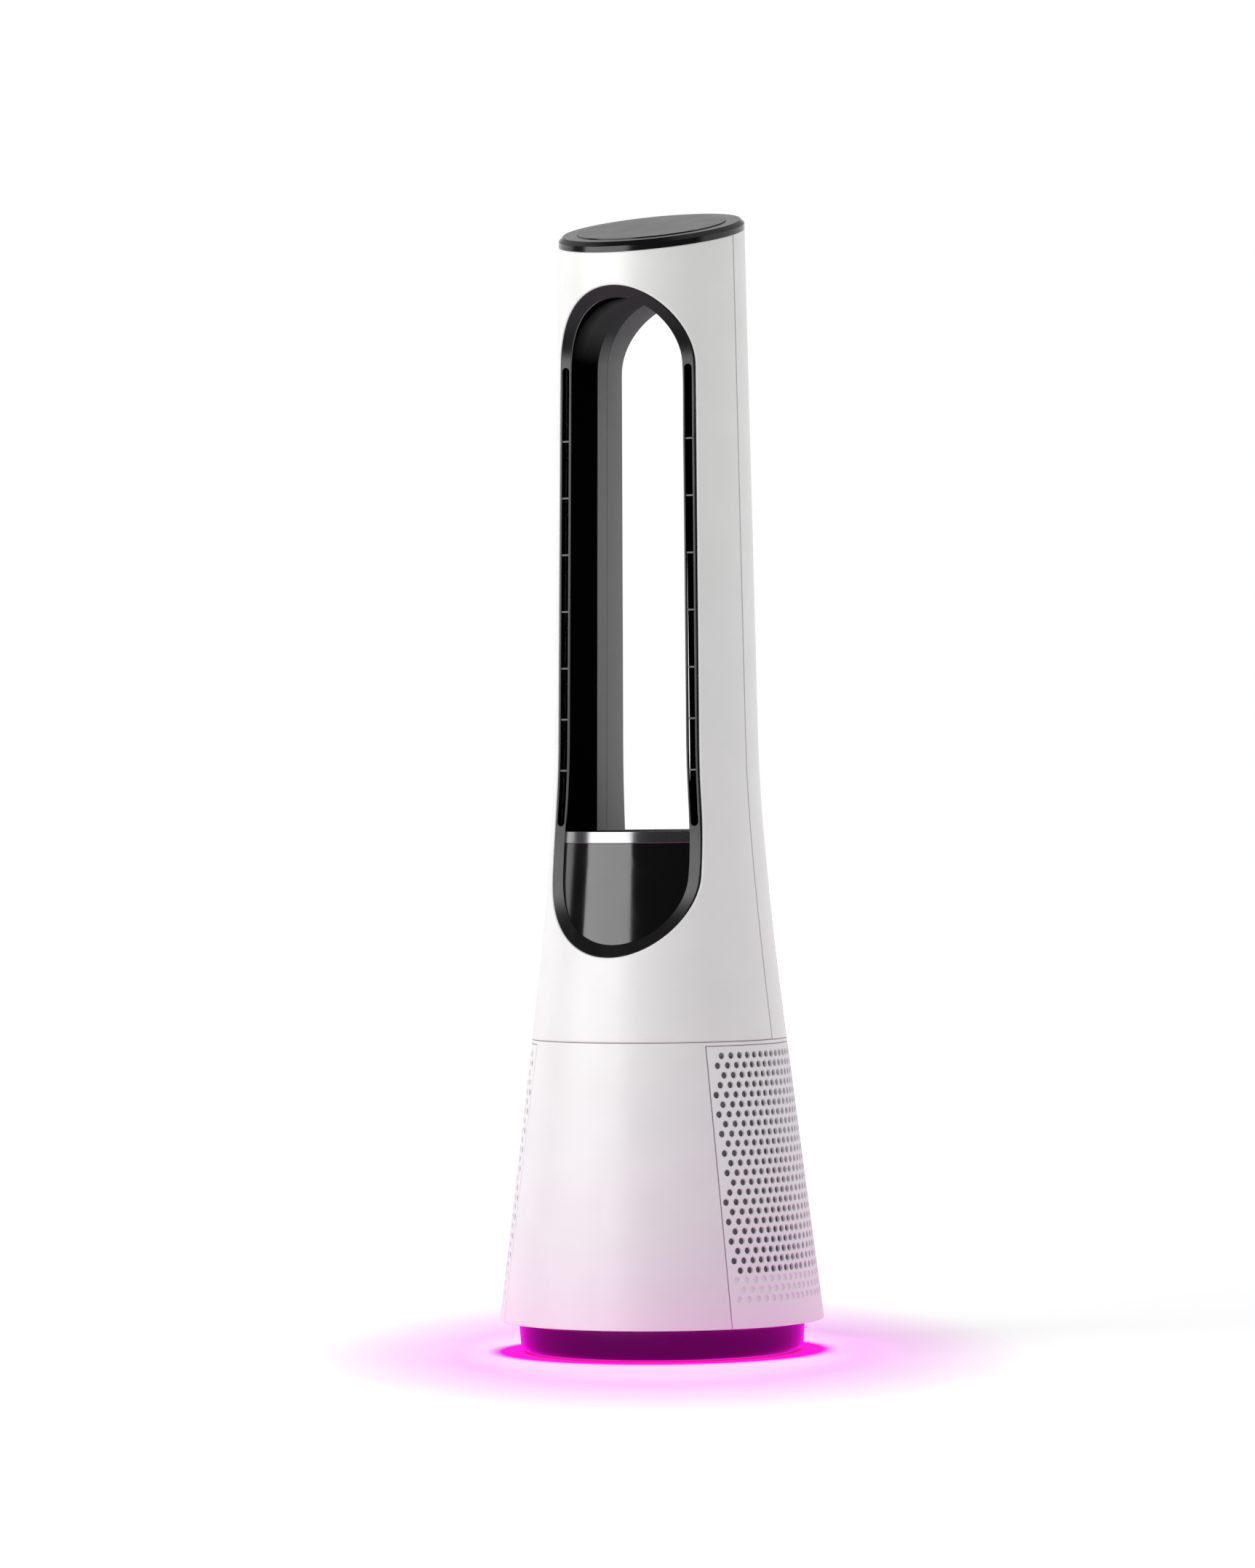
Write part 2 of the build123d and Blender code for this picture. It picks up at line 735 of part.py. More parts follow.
def vent_cells():
    """Angle from +X and height of every opening in the cover."""
    cells = []
    for row in range(vent_rows):
        z = vent_top_z - row * vent_row_pitch
        step = degrees(vent_pitch / skin_r(z))
        shift = 0.5 * (row % 2)
        count = int(vent_half_angle / step)
        cells += [(90.0 + (index + shift) * step, z) for index in range(-count, count + 1)
                  if abs((index + shift) * step) < vent_half_angle]
    return cells


with BuildPart() as intake_cover:
    add(skin)
    add(body_fill(cover_wall), mode=Mode.SUBTRACT)
    split(bisect_by=level(skirt_z), keep=Keep.TOP)
    split(bisect_by=level(cover_top_z - parting), keep=Keep.BOTTOM)
    add(cover_zone, mode=Mode.INTERSECT)
    for angle, z in vent_cells():
        out = Vector(cos(radians(angle)), sin(radians(angle)), 0)
        start = out * (skin_r(z) - 6.0) + Vector(0, 0, z)
        with BuildSketch(Plane(origin=start, x_dir=(0, 0, 1), z_dir=out)):
            RegularPolygon(vent_r, 6)
    extrude(amount=12.0, mode=Mode.SUBTRACT)
save(intake_cover, "intake_cover")

with BuildPart() as intake_filter:
    filter_outer = cover_wall + filter_gap
    filter_height = slab(filter_low_z, filter_high_z, level)
    filter_zone = slab(flange_t + 2.0, 2 * far, cover_plane)
    add(band(filter_outer, filter_outer + filter_t, filter_height, filter_zone))
save(intake_filter, "intake_filter")


# ================= fan =================
with BuildPart() as fan_stand:
    tube(stand_r, stand_r - stand_ring_w, floor_top_z, floor_top_z + stand_ring_t)
    tube(stand_r, stand_r - stand_ring_w, mouth_z - stand_ring_t, mouth_z)
    with BuildSketch(level(floor_top_z)):
        with PolarLocations(stand_r - stand_ring_w / 2, stand_posts, start_angle=0.0):
            RectangleRounded(stand_ring_w - 1.0, post_w, 2.0)
    extrude(amount=mouth_z - floor_top_z)
save(fan_stand, "fan_stand")

casing_outer_r = casing_r + casing_wall
with BuildPart() as bellmouth:
    with BuildSketch(Plane.XZ):
        with BuildLine():
            throat = (casing_r - 3.0, casing_low_z)
            brim = (casing_r + 6.0, mouth_z)
            Polyline(brim, (stand_r, mouth_z), (stand_r, mouth_z + mouth_lip_t),
                     (casing_outer_r, mouth_z + mouth_lip_t), (casing_outer_r, casing_low_z), throat)
            Bezier(throat, (casing_r - 3.5, mouth_z + 2.5), (casing_r + 2.0, mouth_z), brim)
        make_face()
    revolve(axis=Axis.Z)
save(bellmouth, "bellmouth")

# the board stands as near to the housing as its parts allow
terminal_reach = terminal_x + terminal_w / 2
board_front_r = skin_r(control_z + control_h) - wall - control_gap
control_y = part_h - sqrt(board_front_r ** 2 - terminal_reach ** 2)
board_middle = (0, control_z + control_h / 2)
board_holes = (control_w - 2 * control_hole_inset, control_h - 2 * control_hole_inset)
with BuildPart() as fan_casing:
    tube(casing_outer_r, casing_r, casing_low_z, casing_top_z)
    # bosses that carry the control board in front of the casing
    with BuildSketch(facing(control_y + board_t)):
        with Locations(board_middle):
            with GridLocations(*board_holes, 2, 2):
                Circle(control_boss_r)
    extrude(amount=-control_y - board_t - casing_r / 2)
    tube(casing_r, 0, casing_low_z, casing_top_z, Mode.SUBTRACT)
save(fan_casing, "fan_casing")

impeller_top_z = impeller_z + impeller_h
with BuildPart() as impeller:
    camber = ThreePointArc((9.0, 0.0), (38.0, 9.0), (casing_r - 1.0, -7.0), mode=Mode.PRIVATE)
    with BuildSketch(level(impeller_z)):
        with PolarLocations(0, blade_count):
            SlotArc(camber, blade_t)
    extrude(amount=impeller_h)
    with BuildSketch(Plane.XZ):
        tip_r = casing_r - tip_gap
        Polygon((0, impeller_z), (tip_r - 12.0, impeller_z), (tip_r, impeller_z + 12.0),
                (tip_r, impeller_top_z), (0, impeller_top_z), align=None)
    revolve(axis=Axis.Z, mode=Mode.INTERSECT)
    with BuildSketch(Plane.XZ):
        with BuildLine():
            Polyline((hub_high_r, impeller_top_z), (0, impeller_top_z), (0, impeller_z),
                     (hub_low_r, impeller_z))
            Bezier((hub_low_r, impeller_z), (hub_low_r + 2.0, impeller_z + impeller_h * 0.6),
                   (hub_high_r, impeller_z + impeller_h * 0.7), (hub_high_r, impeller_top_z))
        make_face()
    revolve(axis=Axis.Z)
    tube(shaft_r, 0, impeller_z - 1.0, impeller_top_z + 1.0, Mode.SUBTRACT)
save(impeller, "impeller")

with BuildPart() as motor_shaft:
    tube(shaft_r, 0, impeller_z - 4.0, motor_z + motor_h - motor_wall - 0.5)
    chamfer(motor_shaft.edges().group_by(Axis.Z)[0], length=0.5)
save(motor_shaft, "motor_shaft")

with BuildPart() as motor_rotor:
    tube(rotor_r, shaft_r, rotor_z, rotor_z + rotor_h)
save(motor_rotor, "motor_rotor")

with BuildPart() as impeller_nut:
    with BuildSketch(level(impeller_z - 3.4)):
        RegularPolygon(6.4, 6)
        Circle(shaft_r, mode=Mode.SUBTRACT)
    extrude(amount=3.4)
save(impeller_nut, "impeller_nut")

with BuildPart() as diffuser:
    tube(casing_r - 0.1, casing_r - 2.1, pod_z, pod_z + pod_h)
    tube(pod_r, pod_r - pod_wall, pod_z, pod_z + pod_h)
    tube(pod_r, shaft_r + 2.0, pod_z, pod_z + pod_wall)
    vane_camber = ThreePointArc((pod_r - 1.0, 0.0), (52.0, 3.0), (casing_r - 1.0, 0.0), mode=Mode.PRIVATE)
    with BuildSketch(level(pod_z)):
        with PolarLocations(0, vane_count):
            SlotArc(vane_camber, vane_t)
    extrude(amount=pod_h)
    tube(pod_r - pod_wall, 0, pod_z + pod_wall, pod_z + pod_h, Mode.SUBTRACT)
save(diffuser, "diffuser")

with BuildPart() as motor_mounts:
    for low in (motor_z + 1.0, motor_z + motor_h - 6.0):
        tube(pod_r - pod_wall, motor_r, low, low + 5.0)
save(motor_mounts, "motor_mounts")

with BuildPart() as fan_motor:
    tube(motor_r, 0, motor_z, motor_z + motor_h)
    tube(motor_r - motor_wall, 0, motor_z + motor_wall, motor_z + motor_h - motor_wall, Mode.SUBTRACT)
    low_seat = motor_z + motor_wall
    high_seat = motor_z + motor_h - motor_wall - bearing_t
    tube(bearing_r + 1.5, 0, motor_z, low_seat + bearing_t)
    tube(bearing_r + 1.5, 0, high_seat, motor_z + motor_h)
    tube(bearing_r, 0, low_seat, low_seat + bearing_t, Mode.SUBTRACT)
    tube(bearing_r, 0, high_seat, high_seat + bearing_t, Mode.SUBTRACT)
    tube(shaft_r + 1.0, 0, motor_z, low_seat, Mode.SUBTRACT)
save(fan_motor, "fan_motor")

with BuildPart() as motor_bearings:
    for low in (low_seat, high_seat):
        tube(bearing_r, shaft_r + fit_gap, low, low + bearing_t)
save(motor_bearings, "motor_bearings")

with BuildPart() as motor_stator:
    stator_inner = rotor_r + rotor_gap
    stator_outer = motor_r - motor_wall
    tube(stator_outer, stator_outer - 3.5, rotor_z, rotor_z + rotor_h)
    with BuildSketch(level(rotor_z)):
        with PolarLocations((stator_outer - 1.0 + stator_inner) / 2, stator_teeth):
            Rectangle(stator_outer - 1.0 - stator_inner, 4.0)
    extrude(amount=rotor_h)
    tube(stator_inner, 0, rotor_z, rotor_z + rotor_h, Mode.SUBTRACT)
save(motor_stator, "motor_stator")

pod_top_z = pod_z + pod_h
with BuildPart() as pod_cap:
    with BuildSketch(Plane.XZ):
        with BuildLine():
            tip = (0, pod_top_z + pod_cap_h)
            Polyline(tip, (0, pod_top_z), (pod_r, pod_top_z))
            Bezier((pod_r, pod_top_z), (pod_r, pod_top_z + 12.0), (14.0, pod_top_z + pod_cap_h), tip)
        make_face()
    revolve(axis=Axis.Z)
save(pod_cap, "pod_cap")

with BuildPart() as duct_gasket:
    tube(casing_r + gasket_w, casing_r, casing_top_z, casing_top_z + gasket_t)
save(duct_gasket, "duct_gasket")

adaptor_low_z = casing_top_z + gasket_t
with BuildPart() as duct_adaptor:
    with BuildSketch(Plane.XZ):
        Polygon((casing_r, adaptor_low_z), (casing_r + gasket_w, adaptor_low_z),
                (adaptor_top_r + adaptor_wall, deck_z), (adaptor_top_r, deck_z), align=None)
    revolve(axis=Axis.Z)
save(duct_adaptor, "duct_adaptor")

with BuildPart() as column_deck:
    tube(seam_r - wall - 0.1, adaptor_top_r - adaptor_wall, deck_z, housing_top_z)
    spigot_r = skin_r(seam_z + deck_spigot_h) - wall - 0.4
    tube(spigot_r, spigot_r - deck_spigot_t, housing_top_z, column_low_z + deck_spigot_h)
save(column_deck, "column_deck")


# ================= control board =================
with BuildPart() as main_board:
    with BuildSketch(facing(control_y)):
        with Locations(board_middle):
            RectangleRounded(control_w, control_h, 2.0)
            with GridLocations(*board_holes, 2, 2):
                Circle(screw_r, mode=Mode.SUBTRACT)
    extrude(amount=board_t)
save(main_board, "main_board")

with BuildPart() as board_parts:
    with BuildSketch(facing(control_y)):
        with Locations((-12.0, control_z + capacitor_rise), (8.0, control_z + capacitor_rise)):
            Circle(capacitor_r)
        with Locations((0.0, control_z + chip_rise)):
            Rectangle(chip_w, chip_w)
        with Locations((terminal_x, control_z + terminal_rise), (-terminal_x, control_z + terminal_rise)):
            Rectangle(terminal_w, terminal_h)
    extrude(amount=-part_h)
save(board_parts, "board_parts")


# ================= column shells =================
rear_mouth = tunnel_fill(tunnel_wall + 0.3)
with BuildPart() as front_shell:
    add(skin)
    add(cavity, mode=Mode.SUBTRACT)
    split(bisect_by=level(column_low_z), keep=Keep.TOP)
    split(bisect_by=crown_plane(0.0), keep=Keep.BOTTOM)
    split(bisect_by=facing(side_seam_y - side_parting / 2), keep=Keep.BOTTOM)
    add(mouth_prism(-0.3, -far, 0.0), mode=Mode.SUBTRACT)
    fillet(front_shell.edges(Select.LAST).filter_by(on_skin), radius=mouth_round)
save(front_shell, "front_shell")

with BuildPart() as rear_shell:
    add(skin)
    add(cavity, mode=Mode.SUBTRACT)
    split(bisect_by=level(column_low_z), keep=Keep.TOP)
    split(bisect_by=crown_plane(0.0), keep=Keep.BOTTOM)
    split(bisect_by=facing(side_seam_y + side_parting / 2), keep=Keep.TOP)
    # a lip behind the side seam keeps air and light in
    lip_zone = slab(column_low_z + deck_spigot_h + 1.0, crown_z - 30.0, level)
    lip_rear_y = side_seam_y + lip_reach
    add(band(wall + 0.2, wall + lip, lip_zone, slab(side_seam_y - lip_reach, lip_rear_y, facing)))
    add(band(wall - 0.5, wall + lip, lip_zone, slab(side_seam_y + side_parting, lip_rear_y, facing)))
    add(rear_mouth & slab(0.0, far, facing), mode=Mode.SUBTRACT)
save(rear_shell, "rear_shell")

with BuildPart() as bezel:
    for x, z, in_x, in_z in bezel_stations():
        inner_x = x + bezel_w * in_x
        inner_z = z + bezel_w * in_z
        outer_y = face_depth(x, z, bezel_step)
        inner_y = face_depth(inner_x, inner_z, bezel_drop)
        station = Plane(origin=(x, 0, z), x_dir=(in_x, 0, in_z), z_dir=(-in_z, 0, in_x))
        with BuildSketch(station):
            with BuildLine():
                Polyline((0, outer_y), (bezel_w, inner_y), (bezel_w, inner_y + bezel_lip_t),
                         (0, outer_y + bezel_depth), close=True)
            make_face()
    loft()
    with BuildLine(mode=Mode.PRIVATE) as slot_line:
        Line(slot_point(slot_high_z), slot_point(waist_z))
        ThreePointArc(slot_point(waist_z), slot_point((waist_z + slot_low_z) / 2), slot_point(slot_low_z))
    with BuildSketch(Plane.XZ):
        SlotArc(slot_line.wires()[0], slot_w)
    extrude(amount=skin_r(slot_low_z) + 10.0, mode=Mode.SUBTRACT)
    mirror(about=Plane.YZ)
save(bezel, "bezel")

with BuildPart() as slot_ribs:
    for index in range(rib_count):
        z = rib_low_z + index * rib_pitch + max(0, index - 2) * (rib_pitch_upper - rib_pitch)
        x = ring_side(z) - slot_inset
        outer_y = face_depth(ring_side(z), z, bezel_step)
        inner_y = face_depth(ring_side(z) - bezel_w, z, bezel_drop)
        with BuildSketch(facing((outer_y + inner_y) / 2 + rib_sink)):
            with Locations((x, z), (-x, z)):
                Rectangle(slot_w - 0.2, rib_h)
        extrude(amount=rib_depth)
save(slot_ribs, "slot_ribs")


# ================= air duct through the loop =================
tunnel_bore = tunnel_fill(0.0)
tunnel_block = tunnel_fill(tunnel_wall)
# the lining's floor ends behind the band on the shelf's front
with BuildPart() as sill_space:
    add(slab(0.0, sill_z + 0.2, level))
    add(body_fill(bezel_drop).moved(Location((0, sill_t + 0.2, 0))), mode=Mode.SUBTRACT)
with BuildPart() as tunnel_front:
    add(tunnel_block)
    add(body_fill(bezel_drop).moved(Location((0, bezel_lip_t + 0.2, 0))), mode=Mode.INTERSECT)
    split(bisect_by=facing(tunnel_joint_y - tunnel_parting / 2), keep=Keep.BOTTOM)
    add(tunnel_bore, mode=Mode.SUBTRACT)
    add(sill_space.part, mode=Mode.SUBTRACT)
save(tunnel_front, "tunnel_front")

with BuildPart() as tunnel_rear:
    add(tunnel_block)
    add(skin, mode=Mode.INTERSECT)
    split(bisect_by=facing(tunnel_joint_y + tunnel_parting / 2), keep=Keep.TOP)
    add(tunnel_bore, mode=Mode.SUBTRACT)
save(tunnel_rear, "tunnel_rear")

panel_prism = mouth_prism(bezel_w + 0.2, -far, 0.0)
panel_inset = bezel_drop + panel_gap
with BuildPart() as display_panel:
    panel_zone = slab(0.0, sill_z - sill_band - 0.2, level)
    add(band(panel_inset, panel_inset + panel_t, panel_prism, panel_zone))
save(display_panel, "display_panel")

with BuildPart() as sill_trim:
    add(band(bezel_drop, None, panel_prism, slab(sill_z - sill_band, sill_z, level)))
    add(body_fill(bezel_drop).moved(Location((0, sill_t, 0))), mode=Mode.SUBTRACT)
save(sill_trim, "sill_trim")

# the board's upper corners rest against the back of the panel
display_board_z = bowl_z - display_board_drop
panel_back_r = skin_r(display_board_z + display_board_h / 2) - panel_inset - panel_t
display_board_y = -sqrt(panel_back_r ** 2 - (display_board_w / 2) ** 2)
with BuildPart() as display_board:
    with BuildSketch(facing(display_board_y)):
        with Locations((0, display_board_z)):
            RectangleRounded(display_board_w, display_board_h, 2.0)
    extrude(amount=board_t)
save(display_board, "display_board")

with BuildPart() as air_guides:
    guide_zone = slab(guide_front_y, guide_rear_y, facing)
    for index in range(rib_count - 1):
        z = rib_low_z + (index + 0.5) * rib_pitch_upper
        add(band(wall + lip + 0.2, None, slab(z, z + guide_t, level), guide_zone))
    add(tunnel_fill(tunnel_wall + 0.3), mode=Mode.SUBTRACT)
save(air_guides, "air_guides")


# ================= slanted top =================
top_h = rim_h + rim_bevel
glass_low = top_h + glass_rise - glass_t
with BuildPart() as crown_plate:
    add(band(wall + 0.2, None, slab(-crown_plate_t, 0.0, crown_plane)))
save(crown_plate, "crown_plate")

with BuildPart() as top_rim:
    add(band(0.0, None, slab(parting / 2, top_h, crown_plane)))
    chamfer(top_rim.faces().sort_by(Axis.Z)[-1].edges(), length=rim_bevel)
    add(band(glass_inset, None, slab(glass_low, top_h + 1.0, crown_plane)), mode=Mode.SUBTRACT)
    add(band(glass_inset + glass_ledge, None, slab(-1.0, top_h, crown_plane)), mode=Mode.SUBTRACT)
save(top_rim, "top_rim")

with BuildPart() as touch_glass:
    add(band(glass_inset + 0.2, None, slab(glass_low, glass_low + glass_t, crown_plane)))
save(touch_glass, "touch_glass")

with BuildPart() as touch_board:
    board_top = glass_low - 0.2
    board_zone = slab(board_top - board_t, board_top, crown_plane)
    add(band(glass_inset + glass_ledge + 0.3, None, board_zone))
save(touch_board, "touch_board")
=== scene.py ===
"""Studio scene of a bladeless tower fan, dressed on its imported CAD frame.

Lengths are metres in the CAD's own frame: the origin on the fan's upright axis at the floor, +Z up, air
outlet towards -Y. Azimuths are measured from -Y towards +X.
"""

import logging
import math
from dataclasses import dataclass
from enum import Enum

import bmesh
import bpy
from mathutils import Matrix, Vector


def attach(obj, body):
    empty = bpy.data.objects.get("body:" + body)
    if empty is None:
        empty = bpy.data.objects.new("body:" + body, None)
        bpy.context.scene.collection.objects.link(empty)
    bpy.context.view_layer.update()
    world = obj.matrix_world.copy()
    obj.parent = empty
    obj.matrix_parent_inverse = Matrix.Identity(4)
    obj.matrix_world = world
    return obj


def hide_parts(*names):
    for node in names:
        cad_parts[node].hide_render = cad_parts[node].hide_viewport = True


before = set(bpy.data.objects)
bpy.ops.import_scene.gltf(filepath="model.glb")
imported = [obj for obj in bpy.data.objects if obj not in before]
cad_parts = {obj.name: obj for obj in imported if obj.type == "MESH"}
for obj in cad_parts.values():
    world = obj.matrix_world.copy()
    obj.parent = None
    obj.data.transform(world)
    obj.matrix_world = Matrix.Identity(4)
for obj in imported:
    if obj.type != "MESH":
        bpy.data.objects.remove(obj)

Colour = tuple[float, float, float]
Rings = tuple[tuple[float, Colour], ...]
Socket = bpy.types.NodeSocket
log = logging.getLogger("fan")
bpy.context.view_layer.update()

NOISE_BAND = (0.3, 0.7)             # the values of a noise that carry its pattern
WIDE_BAND = (0.2, 0.8)              # the same, where the pattern should stay softer
INWARD_BAND = (-0.55, -0.65)        # cosine to the outward direction from which a face counts as an inner one
ROUNDED_ANGLE = math.radians(50.0)  # edges that turn by more than this are rounded
CREASE_ANGLE = math.radians(28.0)   # edges that turn by more than this stay crisp
BLACK = (0.0, 0.0, 0.0)


# ---------------------------------------------------------------- shader graphs

def darker(colour: Colour, share: float) -> Colour:
    """Colour with only a share of its brightness."""
    return tuple(share * part for part in colour)


class Nodes:
    """Node tree, with short calls for the nodes that the materials and the world share."""

    def __init__(self, tree: bpy.types.NodeTree) -> None:
        """Take the tree to build in."""
        self.tree = tree

    def node(self, kind: str, **settings: object) -> bpy.types.Node:
        """Add a node.

        Args:
            kind: the node's type.
            settings: attributes to set on it.

        Returns:
            The new node.
        """
        made = self.tree.nodes.new(kind)
        for key, value in settings.items():
            setattr(made, key, value)
        return made

    def feed(self, socket: Socket, value: object) -> None:
        """Link an output into a socket, or set the socket's own value.

        Args:
            socket: the input.
            value: an output socket, a number or a colour.
        """
        if isinstance(value, bpy.types.NodeSocket):
            self.tree.links.new(value, socket)
        elif isinstance(value, tuple) and socket.type == "RGBA":
            socket.default_value = (*value, 1.0)
        else:
            socket.default_value = value

    def math(self, operation: str, first: object, second: object = 0.0) -> Socket:
        """Combine two numbers.

        Args:
            operation: the Math node's operation.
            first: first number or output.
            second: second number or output.

        Returns:
            The result.
        """
        made = self.node("ShaderNodeMath", operation=operation)
        self.feed(made.inputs[0], first)
        self.feed(made.inputs[1], second)
        return made.outputs[0]

    def spread(self, value: Socket, low: float, high: float, to_low: float = 0.0, to_high: float = 1.0,
               curve: str = "LINEAR") -> Socket:
        """Map a number's range to another, clamped.

        Args:
            value: the number.
            low: start of its range.
            high: end of its range.
            to_low: result at the start.
            to_high: result at the end.
            curve: the Map Range node's interpolation.

        Returns:
            The mapped number.
        """
        made = self.node("ShaderNodeMapRange", interpolation_type=curve)
        self.feed(made.inputs["Value"], value)
        for name, number in (("From Min", low), ("From Max", high), ("To Min", to_low), ("To Max", to_high)):
            made.inputs[name].default_value = number
        return made.outputs[0]

    def blend(self, factor: Socket, first: object, second: object) -> Socket:
        """Mix two numbers.

        Args:
            factor: share of the second.
            first: number or output.
            second: number or output.

        Returns:
            The mixed number.
        """
        made = self.node("ShaderNodeMix")
        self.feed(made.inputs[0], factor)
        self.feed(made.inputs[2], first)
        self.feed(made.inputs[3], second)
        return made.outputs[0]

    def rays(self) -> tuple[Socket, Socket]:
        """Tell apart the rays that reach a surface.

        Returns:
            1 for what the camera sees directly, and 1 for what a glossy surface mirrors.
        """
        path = self.node("ShaderNodeLightPath")
        direct = self.math("MAXIMUM", path.outputs["Is Camera Ray"], path.outputs["Is Transmission Ray"])
        return direct, path.outputs["Is Glossy Ray"]


class Graph(Nodes):
    """Shader graph of one material, with short calls for the patterns that the finishes share."""

    def __init__(self, name: str) -> None:
        """Start a material that holds a Principled shader and its output.

        Args:
            name: the material's name.
        """
        self.material = bpy.data.materials.new(name)
        self.material.use_nodes = True
        super().__init__(self.material.node_tree)
        self.shader = next(n for n in self.tree.nodes if n.type == "BSDF_PRINCIPLED")
        self.place = self.node("ShaderNodeTexCoord")

    def set(self, name: str, value: object) -> None:
        """Set or link one input of the Principled shader."""
        self.feed(self.shader.inputs[name], value)

    def axis(self, letter: str) -> Socket:
        """Object coordinate along one axis.

        Args:
            letter: X, Y or Z.

        Returns:
            The coordinate, in metres.
        """
        split = self.node("ShaderNodeSeparateXYZ")
        self.feed(split.inputs[0], self.place.outputs["Object"])
        return split.outputs[letter]

    def radius(self) -> Socket:
        """Distance from the fan's axis.

        Returns:
            The distance, in metres.
        """
        across = self.math("POWER", self.axis("X"), 2.0)
        along = self.math("POWER", self.axis("Y"), 2.0)
        return self.math("SQRT", self.math("ADD", across, along))

    def noise(self, scale: float, detail: float = 2.0, stretch: Colour = (1.0, 1.0, 1.0)) -> Socket:
        """Noise over the object's coordinates.

        Args:
            scale: cells per metre.
            detail: octaves.
            stretch: scale factor along each axis.

        Returns:
            A number round 0.5.
        """
        made = self.node("ShaderNodeTexNoise")
        made.inputs["Scale"].default_value = scale
        made.inputs["Detail"].default_value = detail
        turned = self.node("ShaderNodeMapping")
        turned.inputs["Scale"].default_value = stretch
        self.feed(turned.inputs["Vector"], self.place.outputs["Object"])
        self.feed(made.inputs["Vector"], turned.outputs[0])
        return made.outputs["Fac"]

    def cells(self, scale: float, feature: str = "F1") -> Socket:
        """Distance field of a Voronoi pattern.

        Args:
            scale: cells per metre.
            feature: the Voronoi feature.

        Returns:
            The distance.
        """
        made = self.node("ShaderNodeTexVoronoi", feature=feature)
        made.inputs["Scale"].default_value = scale
        self.feed(made.inputs["Vector"], self.place.outputs["Object"])
        return made.outputs["Distance"]

    def mix(self, factor: Socket, first: object, second: object) -> Socket:
        """Mix two colours.

        Args:
            factor: share of the second.
            first: colour or output.
            second: colour or output.

        Returns:
            The mixed colour.
        """
        made = self.node("ShaderNodeMix", data_type="RGBA")
        self.feed(made.inputs[0], factor)
        self.feed(made.inputs[6], first)
        self.feed(made.inputs[7], second)
        return made.outputs[2]

    def ramp(self, value: Socket, stops: Rings) -> Socket:
        """Colour ramp.

        Args:
            value: a number from 0 to 1.
            stops: place and colour of each stop.

        Returns:
            The colour.
        """
        made = self.node("ShaderNodeValToRGB")
        elements = made.color_ramp.elements
        while len(elements) < len(stops):
            elements.new(0.5)
        for element, (place, colour) in zip(elements, stops):
            element.position = place
            element.color = (*colour, 1.0)
        self.feed(made.inputs[0], value)
        return made.outputs[0]

    def rounded(self, radius: float) -> Socket:
        """Shading normal that rounds the edges off.

        Args:
            radius: the edges' radius in metres.

        Returns:
            The normal.
        """
        made = self.node("ShaderNodeBevel", samples=4)
        made.inputs["Radius"].default_value = radius
        return made.outputs[0]

    def bump(self, height: Socket, depth: float, normal: Socket | None = None) -> Socket:
        """Raise the surface by a pattern.

        Args:
            height: the pattern, from 0 to 1.
            depth: its height in metres.
            normal: the normal to start from.

        Returns:
            The bumped normal.
        """
        made = self.node("ShaderNodeBump")
        made.inputs["Distance"].default_value = depth
        self.feed(made.inputs["Height"], height)
        if normal is not None:
            self.feed(made.inputs["Normal"], normal)
        return made.outputs[0]

    def faces_inward(self) -> Socket:
        """Tell the faces that look at the fan's axis from the others.

        Returns:
            1 on faces that look at the axis, 0 elsewhere.
        """
        flat = self.node("ShaderNodeVectorMath", operation="MULTIPLY")
        self.feed(flat.inputs[0], self.place.outputs["Object"])
        flat.inputs[1].default_value = (1.0, 1.0, 0.0)
        outward = self.node("ShaderNodeVectorMath", operation="NORMALIZE")
        self.feed(outward.inputs[0], flat.outputs[0])
        facing = self.node("ShaderNodeVectorMath", operation="DOT_PRODUCT")
        self.feed(facing.inputs[0], outward.outputs[0])
        self.feed(facing.inputs[1], self.place.outputs["Normal"])
        return self.spread(facing.outputs["Value"], *INWARD_BAND)


# ---------------------------------------------------------------- finishes

class Texture(Enum):
    """Mould textures: cells per metre, height in metres, and spread of the roughness."""

    POLISHED = (90.0, 0.0000015, 0.03)
    SATIN = (1800.0, 0.000004, 0.05)
    SPARKED = (1100.0, 0.00002, 0.08)


class Pattern(Enum):
    """How a metal part's surface was made."""

    TURNED = "turned"
    ROLLED = "rolled"
    CAST = "cast"
    LAMINATED = "laminated"


